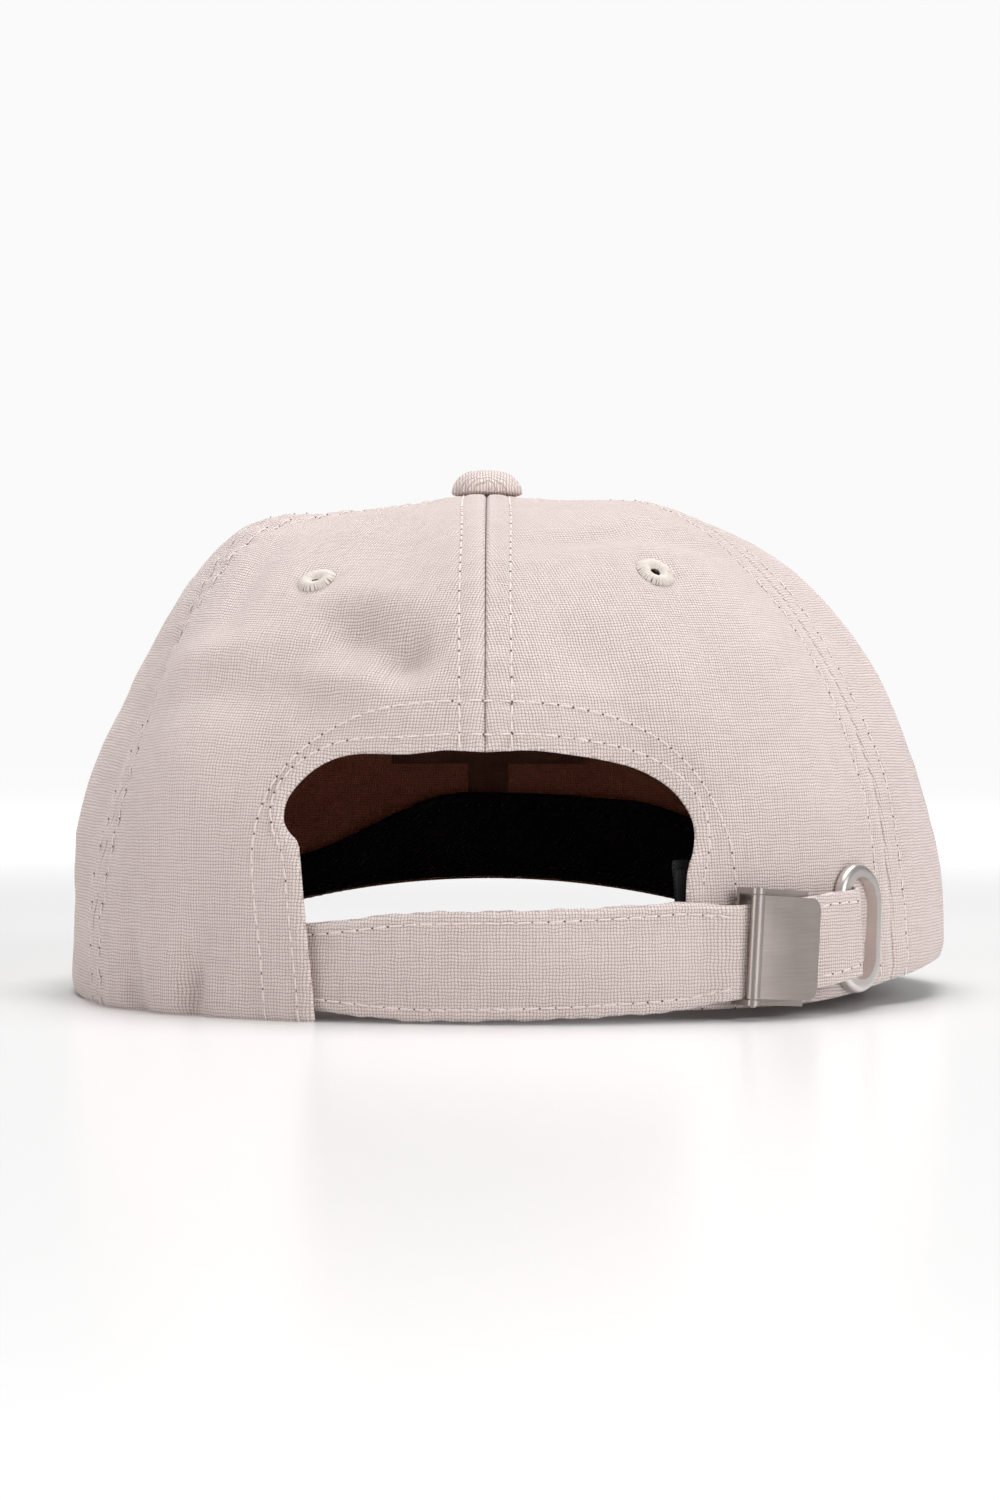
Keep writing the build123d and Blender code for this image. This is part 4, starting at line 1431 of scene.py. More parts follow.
    def snap(
        self, angle: np.ndarray, sweep: np.ndarray, keep: np.ndarray
    ) -> tuple[np.ndarray, np.ndarray]:
        """Moves the grid points beside the opening onto its outline.

        Args:
            angle, sweep: grid of the panel.
            keep: mask of the cells that stay.

        Returns:
            The grid with its edge on the outline.
        """
        touches = cells_round(keep)
        border = (touches > 0) & (touches < cells_round(np.ones_like(keep)))
        place = self.form.base(angle[border], sweep[border], 0.0)
        flat = place[:, [0, 2]]
        gap = np.linalg.norm(flat[:, None, :] - self.outline[None, :, :], axis=2)
        target = self.outline[gap.argmin(axis=1)]
        new_angle, new_sweep = self.form.flat_to_crown(target[:, 0], target[:, 1])
        angle, sweep = angle.copy(), sweep.copy()
        angle[border] = new_angle + 360.0 * np.round((angle[border] - new_angle) / 360.0)
        sweep[border] = new_sweep
        return angle, sweep

    def panel(self, name: str, middle: float) -> bpy.types.Object:
        """One panel of the crown, with its thickness, its turned edges and its inside.

        Args:
            name: which panel.
            middle: angle of its middle.

        Returns:
            The piece.
        """
        top = self.form.sweep_at_radius(self.form.hole_radius)
        across = clustered(self.columns, 0.55)
        up = np.linspace(0.0, 1.0, self.rows)[:, None]
        up = up - 0.02 * np.sin(2 * math.pi * up)
        rough_angle = middle - 30.0 + 60.0 * across[None, :]
        run_low = self.form.length(self.hem_sweep(rough_angle))
        run_high = self.form.length(np.array(top))
        run = run_low + (run_high - run_low) * up
        sweep = self.form.sweep_at_length(run)
        inset = np.degrees(self.form.seam_gap / 2 / self.form.radius(sweep))
        angle = middle + (-30.0 + inset) + (60.0 - 2 * inset) * across[None, :]
        keep = np.ones((self.rows - 1, self.columns - 1), bool)
        if abs(wrap(np.array(middle))) < 60.0:
            edge = self.edge_distance(angle, sweep)
            corner = np.minimum.reduce([edge[:-1, :-1], edge[:-1, 1:], edge[1:, :-1], edge[1:, 1:]])
            keep = corner > -0.35
            angle, sweep = self.snap(angle, sweep, keep)
        angle, sweep, keep = self.pierce(middle, angle, sweep, keep)
        place = self.form.base(angle, sweep, 0.0)
        hole = self.eyelet_centre(middle)
        gap = np.linalg.norm(place - hole, axis=-1)
        dimple = -0.5 * hump(gap, 3.8, 1.6)
        small, wear = self.relief(angle, sweep)
        outer, _ = self.form.surface(angle, sweep, small + dimple)
        inner, _ = self.form.surface(angle, sweep, 0.35 * small + dimple - self.form.wall)
        side = np.radians(wrap(angle - middle)) * self.form.radius(sweep)
        uv = np.stack([side, self.form.length(sweep)], axis=-1)
        # The inside face takes the rust brown that stands in for painted glow through the cloth.
        piece = Cloth(outer, inner, uv, wear, keep).build(
            f"panel_{name}", [self.cloth.canvas, self.cloth.canvas_inside_painted_glow]
        )
        return hand_over(piece, [f"panel_{name}"])

    def pierce(
        self, middle: float, angle: np.ndarray, sweep: np.ndarray, keep: np.ndarray
    ) -> tuple[np.ndarray, np.ndarray, np.ndarray]:
        """Opens the hole of the eyelet and rounds its edge.

        Args:
            middle: angle of the panel's middle.
            angle, sweep: grid of the panel.
            keep: mask of the cells that stay.

        Returns:
            The grid and the mask with the hole in them.
        """
        level = self.form.sweep_at_height(np.array(self.eyelet_height))
        start = float(self.form.length(level))
        u = np.radians(angle - middle) * self.form.radius(sweep)
        v = self.form.length(sweep) - start
        mid_u = (u[:-1, :-1] + u[1:, 1:] + u[:-1, 1:] + u[1:, :-1]) / 4
        mid_v = (v[:-1, :-1] + v[1:, 1:] + v[:-1, 1:] + v[1:, :-1]) / 4
        hole = np.hypot(mid_u, mid_v) < self.hole_radius
        count = cells_round(hole)
        border = (count > 0) & (count < 4)
        away = np.maximum(np.hypot(u[border], v[border]), 1e-6)
        run = start + v[border] / away * self.hole_radius
        angle, sweep = angle.copy(), sweep.copy()
        sweep[border] = self.form.sweep_at_length(run)
        side = u[border] / away * self.hole_radius
        angle[border] = middle + np.degrees(side / self.form.radius(sweep[border]))
        return angle, sweep, keep & ~hole

    def eyelet_centre(self, middle: float) -> np.ndarray:
        """Centre of a panel's eyelet on the plain dome."""
        sweep = self.form.sweep_at_height(np.array(self.eyelet_height))
        return self.form.base(np.array(middle), sweep, 0.0)

    def eyelet(self, name: str, middle: float) -> bpy.types.Object:
        """Ring of satin stitches with a slightly squashed hole.

        Args:
            name: which panel it is in.
            middle: angle of the panel's middle.

        Returns:
            The piece.
        """
        sweep = float(self.form.sweep_at_height(np.array(self.eyelet_height)))
        turn = np.linspace(0.0, 2 * math.pi, 49)
        narrow, tilt = {"rear_left": (0.72, 0.7), "rear_right": (0.95, -0.3)}.get(name, (0.9, 0.4))
        u = self.eyelet_radius * np.cos(turn)
        v = self.eyelet_radius * narrow * np.sin(turn)
        x = u * math.cos(tilt) - v * math.sin(tilt)
        run = float(self.form.length(np.array(sweep))) + u * math.sin(tilt) + v * math.cos(tilt)
        level = self.form.sweep_at_length(run)
        angle = middle + np.degrees(x / self.form.radius(level))
        rows = [self.form.surface(angle, level, -0.15)]
        piece = self.sewing.sew(
            f"eyelet_{name}_threads", rows, self.cloth.eyelet_thread,
            {"Pitch": 0.00034, "Length": 0.0027, "Thickness": 0.00024, "Arch": 0.0007,
             "Turn": math.pi / 2, "Unevenness": 0.12, "Hole": 0.00002, "Seed": int(middle)},
        )
        return hand_over(piece, [f"eyelet_{name}"])

    def tape(self, name: str, middle: float) -> bpy.types.Object:
        """Tape over a seam, inside.

        Args:
            name: which seam.
            middle: its angle.

        Returns:
            The piece.
        """
        foot = float(self.bill.hem(np.array(middle))) + 1.0
        if name == "rear":
            foot = self.form.arch_top + 10.5
        low = float(self.form.sweep_at_height(np.array(foot)))
        high = self.form.sweep_at_radius(7.6)
        run = np.linspace(*self.form.length(np.array([low, high])), 90)[:, None]
        sweep = self.form.sweep_at_length(run)
        half = np.degrees(self.tape_width / 2 / self.form.radius(sweep))
        half = np.minimum(half, 28.0)
        share = np.linspace(-1.0, 1.0, 15)[None, :]
        angle = middle + half * share
        sweep = np.broadcast_to(sweep, angle.shape)
        rise = 0.25 * (1 - np.abs(share) ** 4) + 0.12 * np.sin(run / 3.1 + middle) * share**2
        outer, _ = self.form.surface(angle, sweep, -1.25 - rise * 0.2)
        inner, _ = self.form.surface(angle, sweep, -1.75 - rise)
        uv = np.stack([share * self.tape_width / 2 + 0 * run, run + 0 * share], axis=-1)
        piece = Cloth(outer, inner, uv, None, None, 0.1).build(f"seam_tape_{name}", [self.cloth.tape])
        return hand_over(piece, [f"seam_tape_{name}"])

    def backing(self) -> bpy.types.Object:
        """Woven patch inside the front panels."""
        low, high = self.form.sweep_at_height(np.array(self.backing_heights))
        run = np.linspace(*self.form.length(np.array([low, high])), 50)[:, None]
        sweep = self.form.sweep_at_length(run)
        side = np.linspace(-self.backing_half_width, self.backing_half_width, 60)[None, :]
        angle = 180.0 + np.degrees(side / self.form.radius(sweep))
        sweep = np.broadcast_to(sweep, angle.shape)
        wave = 0.1 * np.sin(side / 5.0) * np.sin(run / 6.0)
        outer, _ = self.form.surface(angle, sweep, -2.15 + wave)
        inner, _ = self.form.surface(angle, sweep, -2.55 + wave)
        uv = np.stack(np.broadcast_arrays(side, run), axis=-1)
        piece = Cloth(outer, inner, uv, None, None, 0.05).build("front_backing", [self.cloth.tape])
        return hand_over(piece, ["front_backing"])

    def facing(self) -> bpy.types.Object:
        """Binding round the rear opening, inside the rear panels."""
        path = self.outline
        ahead = unit(np.gradient(path, axis=0))
        side = np.stack([-ahead[:, 1], ahead[:, 0]], axis=1)
        path, side = path[4:-4:3], side[4:-4:3]
        widths = np.linspace(0.35, self.facing_width, 12)
        grid = path[None, :, :] + side[None, :, :] * widths[:, None, None]
        angle, sweep = self.form.flat_to_crown(grid[..., 0], grid[..., 1])
        wave = 0.12 * np.sin(np.arange(len(path)) / 4.0)[None, :] * (widths / 9.0)[:, None]
        outer, _ = self.form.surface(angle, sweep, -1.25 - wave)
        inner, _ = self.form.surface(angle, sweep, -1.75 - wave)
        run = np.cumsum(np.linalg.norm(np.gradient(path, axis=0), axis=1))
        uv = np.stack(np.broadcast_arrays(run[None, :], widths[:, None]), axis=-1)
        wear = 0.8 * hump(widths, 0.0, 1.0)[:, None] + 0 * run[None, :]
        low = 0.6 + self.bill.placket_lift * (grid[:-1, :-1, 0] > 0)
        keep = (grid[:-1, :-1, 1] > low) & (grid[1:, 1:, 1] > low)
        # The inside face takes the rust brown that stands in for painted glow through the cloth.
        piece = Cloth(outer, inner, uv, wear, keep, 0.2).build(
            "opening_facing", [self.cloth.canvas, self.cloth.canvas_inside_painted_glow]
        )
        return hand_over(piece, ["opening_facing"])

    def seam_rows(self) -> list[tuple[np.ndarray, np.ndarray]]:
        """Topstitch rows on both sides of every seam."""
        rows = []
        for name, middle in SEAMS.items():
            foot = float(self.bill.hem(np.array(middle))) + 1.5
            if name == "rear":
                foot = self.form.arch_top + 1.2
            low = float(self.form.sweep_at_height(np.array(foot)))
            high = self.form.sweep_at_radius(9.5)
            run = np.linspace(*self.form.length(np.array([low, high])), 160)
            sweep = self.form.sweep_at_length(run)
            for sign in (-1.0, 1.0):
                wander = 0.12 * np.sin(run / 9.0 + sign + middle)
                off = np.degrees((self.row_gap + wander) / self.form.radius(sweep))
                angle = middle + sign * np.minimum(off, 27.0)
                rows.append(self.outer(angle, sweep, 0.04))
        return rows

    def edge_rows(self) -> list[tuple[np.ndarray, np.ndarray]]:
        """Rows of stitches that follow the edge of the rear opening."""
        rows = []
        for gap in (self.edge_row, self.outer_row):
            path = self.form.opening(gap, 500)
            path = path[path[:, 1] > 1.2 + self.bill.placket_lift * (path[:, 0] > 0)]
            angle, sweep = self.form.flat_to_crown(path[:, 0], path[:, 1])
            rows.append(self.outer(angle, sweep, 0.04))
        return rows

    def button(self) -> None:
        """Cloth-covered button on top, soft folds pulled under its rim."""
        low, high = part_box("button_cover")
        radius = (high.x - low.x) / 2 / MM
        foot = low.z / MM - 1.1
        height = high.z / MM - foot - 0.2
        turn = np.linspace(0.0, 2 * math.pi, 97)[:-1]
        edge = self.button_rim
        share = np.concatenate([np.linspace(0.0, edge, 8), np.linspace(0.32, 1.0, 26)])[:, None]
        climb = np.clip((share - edge) / (1 - edge), 0.0, 1.0)
        under = np.clip(share / edge, 0.0, 1.0)
        bend = np.sin(climb * math.pi / 2)
        flare = 0.55 + 0.45 * np.sin(under * math.pi / 2)
        reach = np.where(share < edge, flare, np.cos(climb * math.pi / 2) ** 0.62)
        rim = 0.16 * (1 - np.cos(under * math.pi / 2))
        level = np.where(share < edge, rim, 0.16 + 0.84 * bend**1.15)
        fold = 1 + 0.018 * np.sin(turn * 17 + np.sin(turn * 3) * 2)[None, :] * (1 - climb)
        tilt = 0.25 * np.cos(turn - 2.6)[None, :] * reach
        r = np.maximum(reach * radius * fold, 0.02)
        x = r * np.cos(turn)[None, :]
        y = r * np.sin(turn)[None, :]
        z = foot + 0.02 + (height - 0.25) * level + tilt * climb
        outer = np.stack(np.broadcast_arrays(x, y, z), axis=-1)
        shrink = np.array([0.88, 0.88, 1.0])
        inner = outer * shrink
        inner[..., 2] = foot + 0.3 + (outer[..., 2] - foot) * 0.82
        inner[0, :, :] = outer[0] * np.array([0.97, 0.97, 1.0]) + np.array([0.0, 0.0, 0.25])
        uv = np.stack([x, y], axis=-1)
        wear = 0.5 * hump(climb, 0.25, 0.2) + 0 * turn[None, :]
        piece = Cloth(outer, inner, uv, wear, None, 0.05, True).build(
            "button_cover", [self.cloth.canvas]
        )
        hand_over(piece, ["button_cover"])

    def build(self) -> None:
        """Builds every piece of the crown."""
        for name, middle in PANELS.items():
            self.panel(name, middle)
            self.eyelet(name, middle)
        for name, middle in SEAMS.items():
            self.tape(name, middle)
        self.backing()
        self.facing()
        self.button()
        rows = self.seam_rows() + self.edge_rows()
        piece = self.sewing.sew("crown_topstitch", rows, self.cloth.thread, {"Seed": 3})
        hand_over(piece)


@dataclass
class Bill:
    """Board between two covers, quilted by rows of stitches."""

    form: BillForm
    cloth: Wardrobe
    sewing: Seamstress
    rows: int = 8
    row_pitch: float = 7.0
    first_row: float = 6.0

    def lines(self, count: int) -> tuple[np.ndarray, np.ndarray]:
        """Inner and outer ends of the cross lines of the bill, from tip to tip.

        Args:
            count: number of lines.

        Returns:
            Plan places of the inner ends and of the outer ends.
        """
        crown = self.form.crown
        back_w = crown.half_width + self.form.gap
        back_l = crown.half_length + self.form.gap
        corner = self.form.corner_y
        start = math.acos(corner / back_l)
        inner_turn = np.linspace(-start, start, count)
        inner = np.stack([back_w * np.sin(inner_turn), back_l * np.cos(inner_turn)], axis=1)
        tip = math.asin((self.form.centre_y - corner) / self.form.oval_half_length)
        outer_turn = np.linspace(-tip, math.pi + tip, count)[::-1]
        ends = np.stack(
            [self.form.half_width * np.cos(outer_turn),
             self.form.centre_y + self.form.oval_half_length * np.sin(outer_turn)], axis=1
        )
        return inner, ends

    def grid(self, count: int, shares: np.ndarray) -> tuple[np.ndarray, np.ndarray]:
        """Plan points of the bill and the width of the bill at each cross line."""
        inner, ends = self.lines(count)
        points = inner[None] + (ends - inner)[None] * shares[:, None, None]
        return points, np.linalg.norm(ends - inner, axis=1)

    def cover(self, name: str, upper: bool) -> bpy.types.Object:
        """One cover, rounded over the edge of the board and dimpled along the stitch rows.

        Args:
            name: node that it stands for.
            upper: whether it is the top cover.

        Returns:
            The piece.
        """
        shares = clustered(92, 0.75)
        plan, width = self.grid(260, shares)
        from_edge = (1 - shares)[:, None] * width[None, :]
        base = self.form.underside(plan[..., 0], plan[..., 1])
        half = self.form.thickness / 2
        full = half * np.sqrt(np.clip(1 - (1 - np.clip(from_edge / 2.2, 0, 1)) ** 2, 0, 1))
        quilt = np.zeros_like(full)
        for place in self.row_places():
            quilt = quilt - 0.22 * hump(from_edge, place, 0.75)
        quilt = quilt + 0.05 * np.sin(plan[..., 0] / 2.1) * hump(from_edge % 7.0, 6.0, 2.0)
        lift = full + quilt * smooth(from_edge, 0.5, 3.0)
        under = np.maximum(full - 0.75, 0.03)
        sign = 1.0 if upper else -1.0
        z_mid = base + half
        outer = np.concatenate([plan, (z_mid + sign * lift)[..., None]], axis=-1)
        inner = np.concatenate([plan, (z_mid + sign * under)[..., None]], axis=-1)
        outer[..., 2] = np.maximum(outer[..., 2], 0.02)
        wear = 0.8 * hump(from_edge, 0.6, 1.2) + 0.3 * hump(from_edge, 2.5, 1.5)
        piece = Cloth(outer, inner, plan, wear, None, 0.0).build(name, [self.cloth.canvas])
        return hand_over(piece, [name])

    def row_places(self) -> list[float]:
        """Distances of the stitch rows from the front edge."""
        return [self.first_row + self.row_pitch * i for i in range(self.rows)]

    def stitch_rows(self, upper: bool) -> list[tuple[np.ndarray, np.ndarray]]:
        """Paths of the stitch rows on one face.

        Args:
            upper: whether it is the top face.

        Returns:
            Points and normals of each row.
        """
        rows = []
        inner, ends = self.lines(320)
        width = np.linalg.norm(ends - inner, axis=1)
        half = self.form.thickness / 2
        for place in self.row_places():
            fits = width > place + 5.0
            share = 1 - place / width[fits]
            plan = inner[fits] + (ends - inner)[fits] * share[:, None]
            middle = self.form.underside(plan[:, 0], plan[:, 1]) + half
            sign = 1.0 if upper else -1.0
            z = middle + sign * (half - 0.14)
            slope = plan[:, 0] / self.form.arch_radius
            rise = np.full_like(slope, self.form.slope)
            normal = unit(np.stack([slope, rise, np.ones_like(slope)], 1))
            points = np.concatenate([plan, z[:, None]], axis=1)
            if len(points) > 8:
                rows.append((points, normal * sign))
        return rows

    def build(self) -> None:
        """Builds the covers and their stitches, and dresses the board."""
        self.cover("bill_top_cover", True)
        self.cover("bill_under_cover", False)
        for upper, name in ((True, "bill_top_stitches"), (False, "bill_under_stitches")):
            piece = self.sewing.sew(name, self.stitch_rows(upper), self.cloth.thread, {"Seed": 5})
            hand_over(piece)
        dress("bill_board", self.cloth.board)


def dress(name: str, finish: bpy.types.Material) -> None:
    """Gives a CAD node its finish.

    Args:
        name: the node.
        finish: its material.
    """
    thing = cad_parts[name]
    thing.data.materials.clear()
    thing.data.materials.append(finish)
    log.info("finish on %s", name)


@dataclass
class Sweatband:
    """Twill band and the pad behind it."""

    form: CrownForm
    bill: BillForm
    cloth: Wardrobe
    sewing: Seamstress
    top: float = 29.0
    front_rise: float = 0.6
    end_angle: float = 24.5
    depth_front: float = 2.2
    depth_rear: float = 4.2
    inner_ridges: tuple[Ridge, ...] = (
        Ridge(0.45, 0.95, 0.05), Ridge(-0.25, 0.86, 0.03), Ridge(-0.25, 0.12, 0.03),
    )

    def depth(self, angle: np.ndarray) -> np.ndarray:
        """How far inside the wall the band lies."""
        away = np.abs(wrap(angle))
        return self.depth_rear + (self.depth_front - self.depth_rear) * smooth(away, 74.0, 96.0)

    def sag(self, angle: np.ndarray) -> np.ndarray:
        """How far the soft top edge of the band has slumped at the front."""
        left = 12.0 * smooth(angle, 184.0, 211.0) * (1 - smooth(angle, 226.0, 262.0))
        right = 5.0 * smooth(-angle, -157.0, -138.0) * (1 - smooth(-angle, -122.0, -96.0))
        return left + right

    def layer(
        self, name: str, inset: float, thickness: float, drop: float, finish: bpy.types.Material
    ) -> bpy.types.Object:
        """One layer of the band.

        Args:
            name: node that the layer stands for.
            inset: depth of the layer behind the band's outer face.
            thickness: thickness of the layer.
            drop: how far its top lies below the band's top.
            finish: its material.

        Returns:
            The piece.
        """
        angle = np.linspace(self.end_angle, 360.0 - self.end_angle, 420)[None, :]
        hem = self.bill.hem(angle)
        low = hem + 1.0
        high = self.top - drop + self.front_rise * hem - self.sag(angle)
        share = clustered(34, 0.6)[:, None]
        height = low + (high - low) * share
        sweep = self.form.sweep_at_height(height)
        angle = np.broadcast_to(angle, sweep.shape)
        run = np.radians(angle) * 90.0
        wave = 0.3 * np.sin(run / 7.0 + np.sin(run / 23.0) * 2) * smooth(share, 0.5, 1.0)
        roll = ridges(share, self.inner_ridges)
        depth = self.depth(angle) + inset
        outer, _ = self.form.surface(angle, sweep, -depth - wave * 0.5)
        inner, _ = self.form.surface(angle, sweep, -depth - thickness - wave * 0.5 - roll)
        uv = np.stack([run, height], axis=-1)
        piece = Cloth(outer, inner, uv, None, None, 0.3).build(name, [finish])
        return hand_over(piece, [name])

    def stitch_rows(self) -> list[tuple[np.ndarray, np.ndarray]]:
        """Rows along the folded top and along the foot of the band."""
        rows = []
        angle = np.linspace(self.end_angle + 1, 359.0 - self.end_angle, 700)
        hem = self.bill.hem(angle)
        for share in (0.12, 0.86):
            high = self.top + self.front_rise * hem - self.sag(angle)
            height = hem + 1.0 + (high - hem - 1.0) * share
            sweep = self.form.sweep_at_height(height)
            points, normal = self.form.surface(angle, sweep, -self.depth(angle) - 1.75)
            rows.append((points, -normal))
        return rows

    def build(self) -> None:
        """Builds both layers and their stitches."""
        self.layer("sweatband_pad", 0.0, 0.7, 2.0, self.cloth.pad)
        self.layer("sweatband_twill", 0.9, 0.8, 0.0, self.cloth.twill)
        piece = self.sewing.sew(
            "sweatband_stitches", self.stitch_rows(), self.cloth.dark_thread, {"Seed": 7}
        )
        hand_over(piece)


@dataclass
class Closure:
    """Strap, buckle and tuck ring."""

    form: CrownForm
    cloth: Wardrobe
    sewing: Seamstress
    width: float = 19.8
    width_in_buckle: float = 17.2
    width_in_ring: float = 16.4
    width_at_root: float = 15.4
    thickness: float = 1.1
    height: float = 10.65
    climb: float = 4.4
    rise_to_buckle: float = 0.65
    root_drop: float = 0.5
    placket_angle: float = 22.44
    root_angle: float = -32.9
    tail_angle: float = 66.0
    buckle_angle: float = 34.5
    buckle_length: float = 17.0
    ring_angle: float = 50.5
    ring_width: float = 15.4
    ring_flange: float = 2.5
    ring_dome: float = 2.2
    over_base: float = 3.4
    inside: float = 2.1
    neck_depth: float = 1.9
    layer_gap: float = 0.3
    edge_ridges: tuple[Ridge, ...] = (
        Ridge(0.30, 1.0, 0.9), Ridge(-0.16, 2.0, 0.5), Ridge(-0.35, 0.0, 0.45),
    )

    def centre_height(self, angle: np.ndarray) -> np.ndarray:
        """Height of the strap's centre line."""
        climb = self.climb * (np.maximum(angle, 0.0) / self.ring_angle) ** 2
        rise = self.rise_to_buckle * smooth(angle, -8.0, 28.0)
        rise = rise - self.root_drop * (1 - smooth(angle, -22.0, 0.0))
        return self.height + rise + climb

    def strap_width(self, angle: np.ndarray) -> np.ndarray:
        """Width of the strap, gathered at its root, in the buckle and at the ring.

        Args:
            angle: degrees round the crown.

        Returns:
            Widths in millimetres.
        """
        start = self.buckle_angle - math.degrees(self.buckle_length / 2 / self.form.mean_radius)
        in_buckle = smooth(angle, self.placket_angle, start)
        in_ring = smooth(angle, self.ring_angle - 7.5, self.ring_angle - 3.0)
        at_root = 1 - smooth(angle, -25.0, -6.0)
        width = self.width + (self.width_in_buckle - self.width) * in_buckle
        width = width + (self.width_at_root - self.width) * at_root
        return width + (self.width_in_ring - self.width_in_buckle) * in_ring

    def lift(self, angle: np.ndarray) -> np.ndarray:
        """Height of the strap's inner face over the wall.

        Args:
            angle: degrees round the crown.

        Returns:
            Millimetres outside the wall, negative for inside.
        """
        mean = self.form.mean_radius
        over_ring = self.ring_dome + 4 * self.layer_gap
        wall_bend = self.buckle_length**2 / 8 / mean
        half_ring = math.degrees(self.ring_width / 2 / mean)
        half_base = math.degrees(self.buckle_length / 2 / mean)
        half_hole = math.degrees((self.ring_width / 2 - self.ring_flange) / mean)
        inside = -self.inside - self.thickness
        tail = -self.neck_depth - self.layer_gap - 0.1 - self.thickness
        stations = (
            (self.root_angle, inside),
            (-self.placket_angle, inside),
            (self.placket_angle - 1.5, self.layer_gap + 0.1),
            (self.placket_angle + 2.5, self.layer_gap + 0.4),
            (self.buckle_angle - half_base, self.over_base + wall_bend),
            (self.buckle_angle, self.over_base),
            (self.buckle_angle + half_base, self.over_base + wall_bend),
            (self.ring_angle - half_ring, over_ring + 0.1),
            (self.ring_angle - 0.8 * half_hole, over_ring),
            (self.ring_angle + 0.55 * half_hole, tail),
            (self.tail_angle, tail),
        )
        result = np.full(np.shape(angle), inside, float)
        for (start, low), (end, high) in zip(stations, stations[1:]):
            part = (angle > start) & (angle <= end)
            result = np.where(part, low + (high - low) * smooth(angle, start, end), result)
        return result

    def place(self, angle: np.ndarray, height: np.ndarray, lift: np.ndarray) -> np.ndarray:
        """Points at a lift over the wall, upright over the flat buckle.

        Args:
            angle: degrees round the crown.
            height: millimetres above the table.
            lift: millimetres outside the wall.

        Returns:
            Places, with the shape of the broadcast arguments.
        """
        mean = self.form.mean_radius
        half_base = math.degrees(self.buckle_length / 2 / mean)
        start, end = self.buckle_angle - half_base, self.buckle_angle + half_base
        upright = smooth(angle, start - 7.0, start) - smooth(angle, end, end + 4.0)
        level = height + upright * (self.centre_height(angle) - height)
        wall = self.form.base(angle, self.form.sweep_at_height(level), -lift)
        return np.stack([wall[..., 0], wall[..., 1], np.broadcast_to(height, wall.shape[:-1])], -1)

    def strap(self) -> None:
        """Strap of doubled canvas with stitched edges."""
        angle = np.linspace(self.root_angle, self.tail_angle, 330)[None, :]
        share = clustered(38, 0.7)[:, None] * 2 - 1
        wobble = 0.12 * np.sin(angle * 0.9) + 0.08 * np.sin(angle * 2.3 + 1)
        open_part = smooth(angle, -22.0, -14.0) * (1 - smooth(angle, 20.0, 27.0))
        width = self.strap_width(angle) / 2
        height = self.centre_height(angle) + share * (width + wobble * open_part * np.sign(share))
        across = (1 - np.abs(share)) * width
        lift = self.lift(angle)
        puff = ridges(across, self.edge_ridges)
        free = smooth(angle, -30.0, -24.0) * (1 - smooth(angle, 27.0, 29.5))
        ripple = 0.06 * np.sin(angle * 3.1 + share * 2) * hump(across, 2.0, 2.5)
        outer = self.place(angle, height, lift + self.thickness + (puff + ripple) * free)
        inner = self.place(angle, height, lift - 0.3 * (puff * free))
        run = np.radians(angle) * 96.0
        uv = np.stack(np.broadcast_arrays(run, height), axis=-1)
        wear = 0.9 * hump(across, 0.3, 0.7) + 0 * run
        piece = Cloth(outer, inner, uv, wear, None, 0.22).build("strap", [self.cloth.canvas])
        hand_over(piece, ["strap"])

    def strap_stitches(self) -> None:
        """Two rows on the outer face of the strap, out to the buckle and beyond it."""
        rows = []
        for start, end in ((-23.5, 27.8), (41.8, 47.0)):
            angle = np.linspace(start, end, 220)
            for sign in (-1.0, 1.0):
                height = self.centre_height(angle) + sign * (self.strap_width(angle) / 2 - 2.0)
                lift = self.lift(angle) + self.thickness
                points = self.place(angle, height, lift)
                ahead = self.place(angle + 0.05, height, lift)
                above = self.place(angle, height + 0.2, lift)
                normal = unit(np.cross(ahead - points, above - points))
                rows.append((points, normal))
        piece = self.sewing.sew("strap_stitches", rows, self.cloth.thread, {"Seed": 9})
        hand_over(piece)

    def build(self) -> None:
        """Builds the strap and dresses the metal."""
        self.strap()
        self.strap_stitches()
        for name in ("buckle_base", "buckle_pin", "buckle_cover"):
            dress(name, self.cloth.nickel)
        # The ring and its washer get the lighter copy of the nickel: painted light.
        for name in ("tuck_ring", "tuck_ring_washer"):
            dress(name, self.cloth.nickel_painted_lighter)
        dress("buckle_tab", self.cloth.thread)


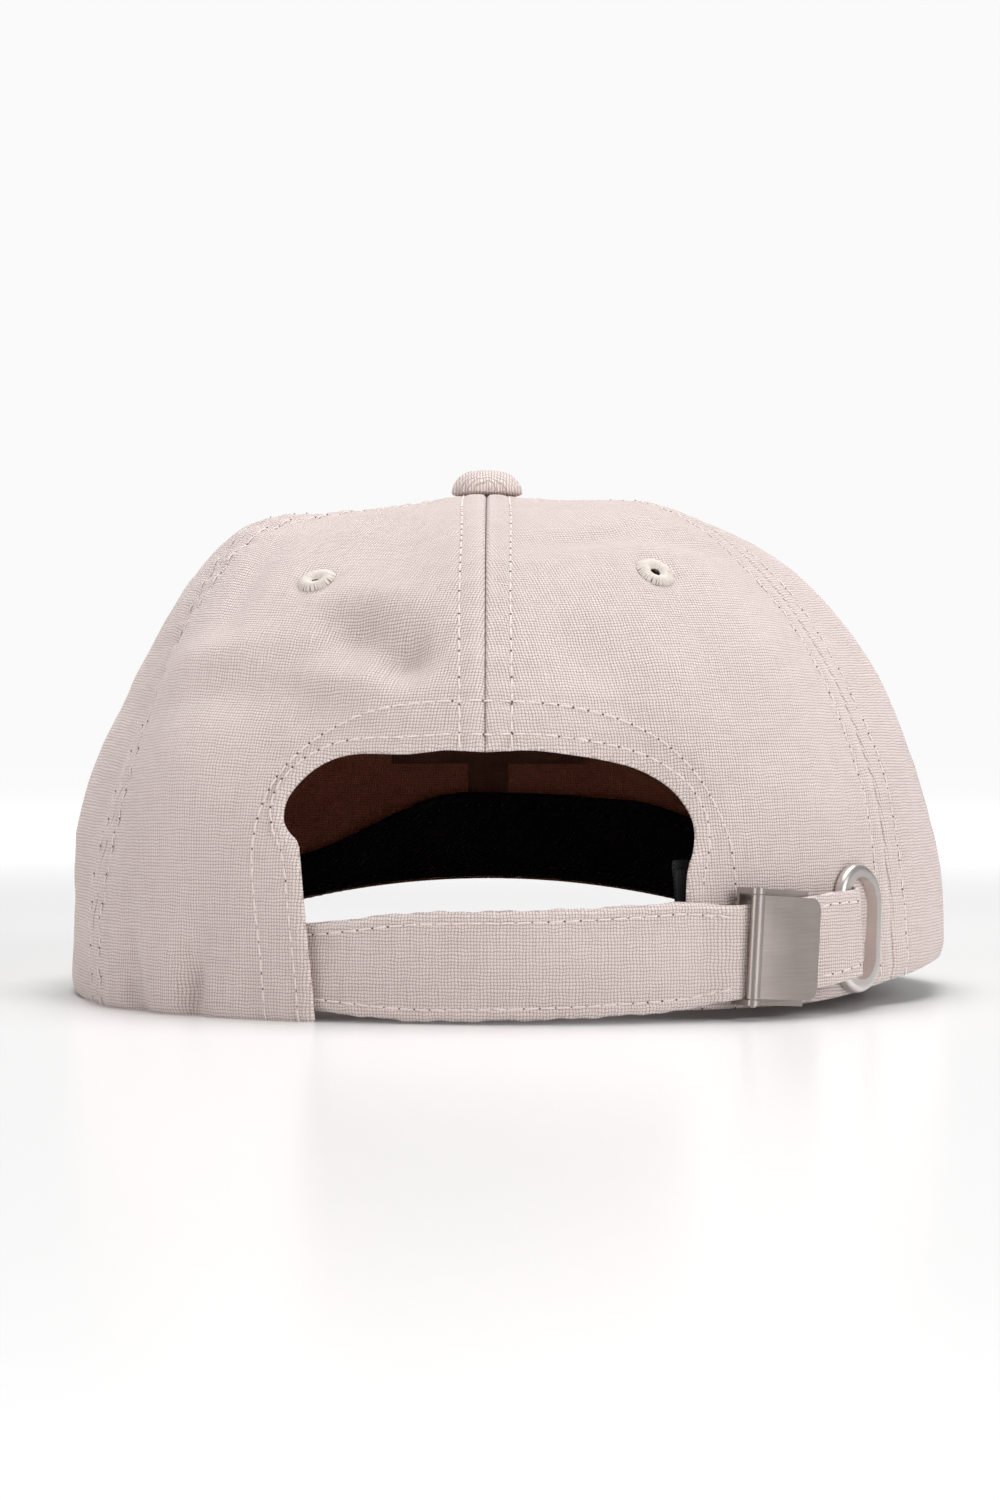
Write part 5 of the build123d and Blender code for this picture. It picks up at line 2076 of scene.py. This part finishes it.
@dataclass
class Studio:
    """Pale floor, soft light and the camera."""

    eye_height: float = 50.5
    distance: float = 594.0
    aside: float = 2.8
    focal: float = 77.7
    world: float = 0.36
    seen: float = 0.955
    glow: float = 0.62
    glow_start: float = 0.33
    glow_end: float = 1.3
    floor_half_side: float = 9.0
    floor_colour: tuple[float, float, float, float] = (0.88, 0.875, 0.875, 1.0)
    floor_roughness: float = 0.25
    rear_edge: float = -0.0985

    def floor(self) -> None:
        """Large pale floor, faintly glossy, that glows more the farther it lies from the cap: painted
        light that whitens the far floor while the floor near and under the cap keeps its shade.
        """
        mesh = bpy.data.meshes.new("floor")
        span = self.floor_half_side
        corners = [(-span, -span, 0), (span, -span, 0), (span, span, 0), (-span, span, 0)]
        mesh.from_pydata(corners, [], [(0, 1, 2, 3)])
        finish = bpy.data.materials.new("floor")
        finish.use_nodes = True
        surface = finish.node_tree.nodes["Principled BSDF"]
        surface.inputs["Base Color"].default_value = self.floor_colour
        surface.inputs["Roughness"].default_value = self.floor_roughness
        tree = finish.node_tree
        # Emission that grows with distance from the origin: painted light on the floor.
        where = node(tree, "ShaderNodeTexCoord")
        away = node(tree, "ShaderNodeVectorMath", operation="LENGTH")
        tree.links.new(where.outputs["Object"], away.inputs[0])
        glow = node(tree, "ShaderNodeMapRange", interpolation_type="SMOOTHSTEP")
        glow.inputs["From Min"].default_value = self.glow_start
        glow.inputs["From Max"].default_value = self.glow_end
        glow.inputs["To Max"].default_value = self.glow
        tree.links.new(away.outputs["Value"], glow.inputs["Value"])
        surface.inputs["Emission Color"].default_value = (1.0, 1.0, 1.0, 1.0)
        tree.links.new(glow.outputs["Result"], surface.inputs["Emission Strength"])
        mesh.materials.append(finish)
        new_object("floor", mesh)

    def sky(self) -> None:
        """White surround, dimmer as a lamp than it looks to the camera."""
        world = bpy.data.worlds.new("studio")
        world.use_nodes = True
        tree = world.node_tree
        back = tree.nodes["Background"]
        back.inputs["Color"].default_value = (1.0, 1.0, 1.0, 1.0)
        seen = node(tree, "ShaderNodeLightPath")
        strength = math_node(
            tree, "MULTIPLY_ADD", seen.outputs["Is Camera Ray"], self.seen - self.world, self.world
        )
        tree.links.new(strength, back.inputs["Strength"])
        bpy.context.scene.world = world

    def light(self, name: str, spot: Vector, size: float, power: float) -> None:
        """Soft square light aimed at the crown.

        Args:
            name: name of the light.
            spot: its place in metres.
            size: its side in metres.
            power: its watts.
        """
        lamp = bpy.data.lights.new(name, "AREA")
        lamp.size = size
        lamp.energy = power
        thing = bpy.data.objects.new(name, lamp)
        thing.location = spot
        thing.rotation_euler = (Vector((0, 0, 0.05)) - spot).to_track_quat("-Z", "Y").to_euler()
        bpy.context.scene.collection.objects.link(thing)

    def camera(self) -> None:
        """Level camera behind the cap."""
        lens = bpy.data.cameras.new("camera")
        lens.lens = self.focal
        lens.sensor_width = 36.0
        lens.clip_start = 0.01
        thing = bpy.data.objects.new("camera", lens)
        thing.location = (self.aside * MM, self.rear_edge - self.distance * MM, self.eye_height * MM)
        thing.rotation_euler = (math.pi / 2, 0.0, 0.0)
        bpy.context.scene.collection.objects.link(thing)
        bpy.context.scene.camera = thing

    def build(self) -> None:
        """Sets everything up."""
        self.floor()
        self.sky()
        self.light("overhead", Vector((0.1, 0.25, 1.3)), 0.9, 19.0)
        self.light("right_fill", Vector((1.1, -1.2, 0.65)), 1.0, 15.5)
        self.light("left_fill", Vector((-1.4, -0.6, 0.4)), 1.0, 7.5)
        self.camera()
        bpy.context.scene.view_settings.view_transform = "Standard"


def main() -> None:
    """Builds the cap, piece by piece, and the studio round it."""
    logging.basicConfig(level=logging.INFO, format="%(message)s")
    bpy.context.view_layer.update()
    form = CrownForm()
    bill = BillForm(form)
    cloth = Wardrobe()
    sewing = Seamstress(cloth.needle_hole_shade)
    Crown(form, bill, cloth, sewing).build()
    Bill(bill, cloth, sewing).build()
    Sweatband(form, bill, cloth, sewing).build()
    Closure(form, cloth, sewing).build()
    for name in ("button_rivet", "button_back_plate"):
        dress(name, cloth.steel)
    Studio().build()


if __name__ == "__main__":
    main()
